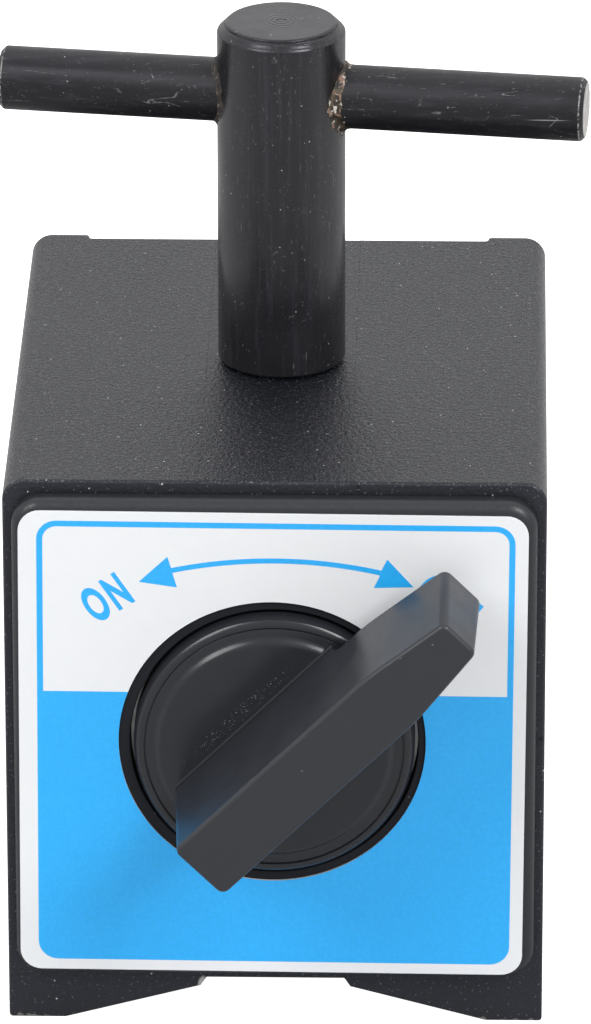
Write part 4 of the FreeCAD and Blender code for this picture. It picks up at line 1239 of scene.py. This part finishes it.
def bead_loops(sizes, side, reach, sag, seed):
    """Loops of one uneven brazed fillet, from inside the post out to the bar."""
    count, rings = 72, 10
    lump_scale, lump_share = 2.2, 1.1
    fine_scale, fine_height = 7.0, 0.22 * MM
    fall, creep = 1.8, 1.3
    skin, inside = 0.02 * MM, 0.4 * MM
    bar, post = sizes.bar_radius, sizes.radius
    loops = []
    for k in range(-1, rings + 1):
        t = max(k, 0) / rings
        loop = []
        for i in range(count):
            turn = 2 * pi * i / count
            way = Vector((cos(turn), sin(turn), 0.0))
            lump = 1.0 + lump_share * noise.noise(way * lump_scale + Vector((seed, 0, t * 1.5)))
            fine = fine_height * noise.noise(way * fine_scale + Vector((seed, 5.0, t * 5.0)))
            rise = (sizes.bead_rise * lump + sag * max(0.0, -sin(turn)) ** 2) * (1 - t) ** fall
            out = bar + max(rise + fine * (1 - t), -skin if t == 1 else skin)
            sideways = min(out * abs(cos(turn)), post * 0.98)
            wall = sqrt(post ** 2 - sideways ** 2)
            along = wall + reach * lump * t ** creep if k >= 0 else wall - inside
            loop.append(Vector((side * along, out * cos(turn), out * sin(turn))))
        loops.append(loop)
    return loops


def make_beads(sizes):
    """The brazed fillets on both sides of the post."""
    bm = bmesh.new()
    for side, reach, sag, seed in ((1, sizes.right_bead, sizes.sag, 3.0), (-1, sizes.left_bead, 0.0, 11.0)):
        rows = add_loops(bm, bead_loops(sizes, side, reach, sag, seed))
        capped(bm, rows[0], rows[-1])
    beads = thing("beads_brazed", bm)
    beads.data.transform(bar_place(sizes))
    smooth(beads, 60.0)
    settle(beads, "block", "braze", ["braze_beads"], finish_of(braze_metal))


def dress_inner_nodes():
    """Gives every CAD node that is still shown the finish of its material slot."""
    finishes = inner_finishes()
    for part in frame["record"]["subparts"]:
        obj = frame["nodes"][part["node"]]
        if obj.hide_render:
            continue
        if part["material_slot"] not in finishes:
            raise RuntimeError(f"{part['node']} has no finish")
        obj.data.materials.clear()
        obj.data.materials.append(finishes[part["material_slot"]])


# Stage

def aim_camera(settings):
    """The camera at the photograph's viewing angle."""
    pitch, yaw, roll = settings.pitch, -settings.yaw, settings.roll
    ahead = Vector((sin(yaw) * cos(pitch), cos(yaw) * cos(pitch), -sin(pitch)))
    right = Vector((cos(yaw), -sin(yaw), 0.0))
    down = ahead.cross(right)
    rolled = cos(roll) * right + sin(roll) * down
    lowered = -sin(roll) * right + cos(roll) * down
    data = bpy.data.cameras.new("camera")
    data.lens = settings.lens
    data.sensor_width = 36.0
    data.clip_start, data.clip_end = 0.05, 20.0
    camera = linked("camera", data)
    turn = Matrix((rolled, -lowered, -ahead)).transposed()
    camera.matrix_world = Matrix.Translation(settings.eye) @ turn.to_4x4()
    bpy.context.scene.camera = camera


def lamp(name, power, size, place, target):
    """A large soft lamp aimed at a point."""
    data = bpy.data.lights.new(name, "AREA")
    data.shape = "RECTANGLE"
    data.size, data.size_y = size
    data.energy = power
    obj = linked(name, data)
    obj.location = place
    obj.rotation_euler = (Vector(target) - Vector(place)).to_track_quat("-Z", "Y").to_euler()


def surroundings(settings):
    """White surroundings, fainter for matt surfaces, and dim towards the front in reflections."""
    world = bpy.data.worlds.new("surroundings")
    world.use_nodes = True
    sky = Tree(world.node_tree)
    path = sky.add("ShaderNodeLightPath").outputs
    seen = sky.sum("MAXIMUM", path["Is Camera Ray"], path["Is Transmission Ray"])
    matt = sky.ramp(seen, 0.0, 1.0, settings.sky, 1.0)
    way = sky.parts(sky.add("ShaderNodeTexCoord").outputs["Generated"])
    mirrored = sky.ramp(way["Y"], -0.7, 0.5, settings.front, settings.back)
    strength = sky.add("ShaderNodeMix", {0: path["Is Glossy Ray"], 2: matt, 3: mirrored}).outputs[0]
    light = world.node_tree.nodes["Background"]
    sky.feed(light.inputs["Color"], (1.0, 1.0, 1.0, 1.0))
    sky.feed(light.inputs["Strength"], strength)
    bpy.context.scene.world = world


def make_floor(settings):
    """A wide pale floor that looks plain white, and is dim in front in reflections."""
    pale, black, drop = tuple(settings.floor), (0.0, 0.0, 0.0), 0.02 * MM
    bm = bmesh.new()
    bmesh.ops.create_grid(bm, x_segments=1, y_segments=1, size=3.0)
    floor = thing("floor", bm)
    floor.location.z = -drop
    finish = Finish("floor_white", pale, 0.9)
    path = finish.add("ShaderNodeLightPath").outputs
    finish.set("Emission Color", (1.0, 1.0, 1.0, 1.0))
    finish.set("Emission Strength", finish.times(path["Is Camera Ray"], 1.1))
    x, y, z = finish.axes()
    ahead = finish.sum("DIVIDE", y, finish.radius(x, y))
    dim = finish.blend(finish.ramp(ahead, -0.95, -0.1, settings.front, settings.back), black, pale)
    finish.set("Base Color", finish.blend(path["Is Glossy Ray"], pale, dim))
    finish.set("Specular IOR Level", 0.0)
    floor.data.materials.append(finish.material)


def make_stage(settings):
    """Camera, lamps, surroundings and floor."""
    bpy.context.scene.view_settings.view_transform = "Standard"
    aim_camera(settings)
    middle, side_lamp, top_lamp = (0.0, 0.0, 40 * MM), (0.32, 0.5), (0.9, 0.6)
    lamp("lamp_left", settings.key, side_lamp, (-0.5, -0.5, 0.65), middle)
    lamp("lamp_right", settings.fill, side_lamp, (0.5, -0.5, 0.65), middle)
    lamp("lamp_above", settings.overhead, top_lamp, (0.0, 0.25, 0.85), middle)
    surroundings(settings)
    make_floor(settings)


# Add-on

class BuildBlock(Operator):
    """Build the painted poles and separators"""
    bl_idname = "magnetic_base.block"
    bl_label = "Block"

    def execute(self, context):
        make_block(context.scene.base_block)
        return {"FINISHED"}


class BuildCovers(Operator):
    """Build the front and rear covers and their screws"""
    bl_idname = "magnetic_base.covers"
    bl_label = "Covers and screws"

    def execute(self, context):
        scene = context.scene
        make_front_cover(scene.base_cover, scene.base_knob)
        make_rear_cover(scene.base_cover)
        make_cover_screws(scene.base_cover)
        return {"FINISHED"}


class BuildLabel(Operator):
    """Build the label with its print"""
    bl_idname = "magnetic_base.label"
    bl_label = "Label"

    def execute(self, context):
        make_label(context.scene.base_label)
        return {"FINISHED"}


class BuildKnob(Operator):
    """Build the lever knob"""
    bl_idname = "magnetic_base.knob"
    bl_label = "Knob"

    def execute(self, context):
        make_knob(context.scene.base_knob)
        return {"FINISHED"}


class BuildPost(Operator):
    """Build the post, the cross bar and the brazing"""
    bl_idname = "magnetic_base.post"
    bl_label = "Post and cross bar"

    def execute(self, context):
        sizes = context.scene.base_post
        make_post(sizes)
        make_bar(sizes)
        make_beads(sizes)
        return {"FINISHED"}


class DressInside(Operator):
    """Give the pieces inside the block their finishes"""
    bl_idname = "magnetic_base.inside"
    bl_label = "Inner pieces"

    def execute(self, context):
        dress_inner_nodes()
        return {"FINISHED"}


class BuildStage(Operator):
    """Set the camera, the lamps and the floor"""
    bl_idname = "magnetic_base.stage"
    bl_label = "Stage"

    def execute(self, context):
        make_stage(context.scene.base_stage)
        return {"FINISHED"}


STEPS = (BuildBlock, BuildCovers, BuildLabel, BuildKnob, BuildPost, DressInside, BuildStage)


class BasePanel(Panel):
    """Lists the steps that build the magnetic base"""
    bl_idname = "VIEW3D_PT_magnetic_base"
    bl_label = "Magnetic base"
    bl_space_type = "VIEW_3D"
    bl_region_type = "UI"
    bl_category = "Magnetic base"

    def draw(self, context):
        for step in STEPS:
            self.layout.operator(step.bl_idname)


GROUPS = {
    "base_block": BlockSizes,
    "base_cover": CoverSizes,
    "base_label": LabelSizes,
    "base_knob": KnobSizes,
    "base_post": PostSizes,
    "base_colours": FinishColours,
    "base_stage": StageSettings,
}


def register():
    """Registers the classes and hangs the settings on the scene."""
    for cls in (*GROUPS.values(), *STEPS, BasePanel):
        bpy.utils.register_class(cls)
    for name, group in GROUPS.items():
        setattr(bpy.types.Scene, name, PointerProperty(type=group))


def unregister():
    """Removes what register added."""
    for name in GROUPS:
        delattr(bpy.types.Scene, name)
    for cls in (BasePanel, *reversed(STEPS), *reversed(GROUPS.values())):
        bpy.utils.unregister_class(cls)


def main():
    register()
    for step in STEPS:
        family, name = step.bl_idname.split(".")
        getattr(getattr(bpy.ops, family), name)()


if __name__ == "__main__":
    main()
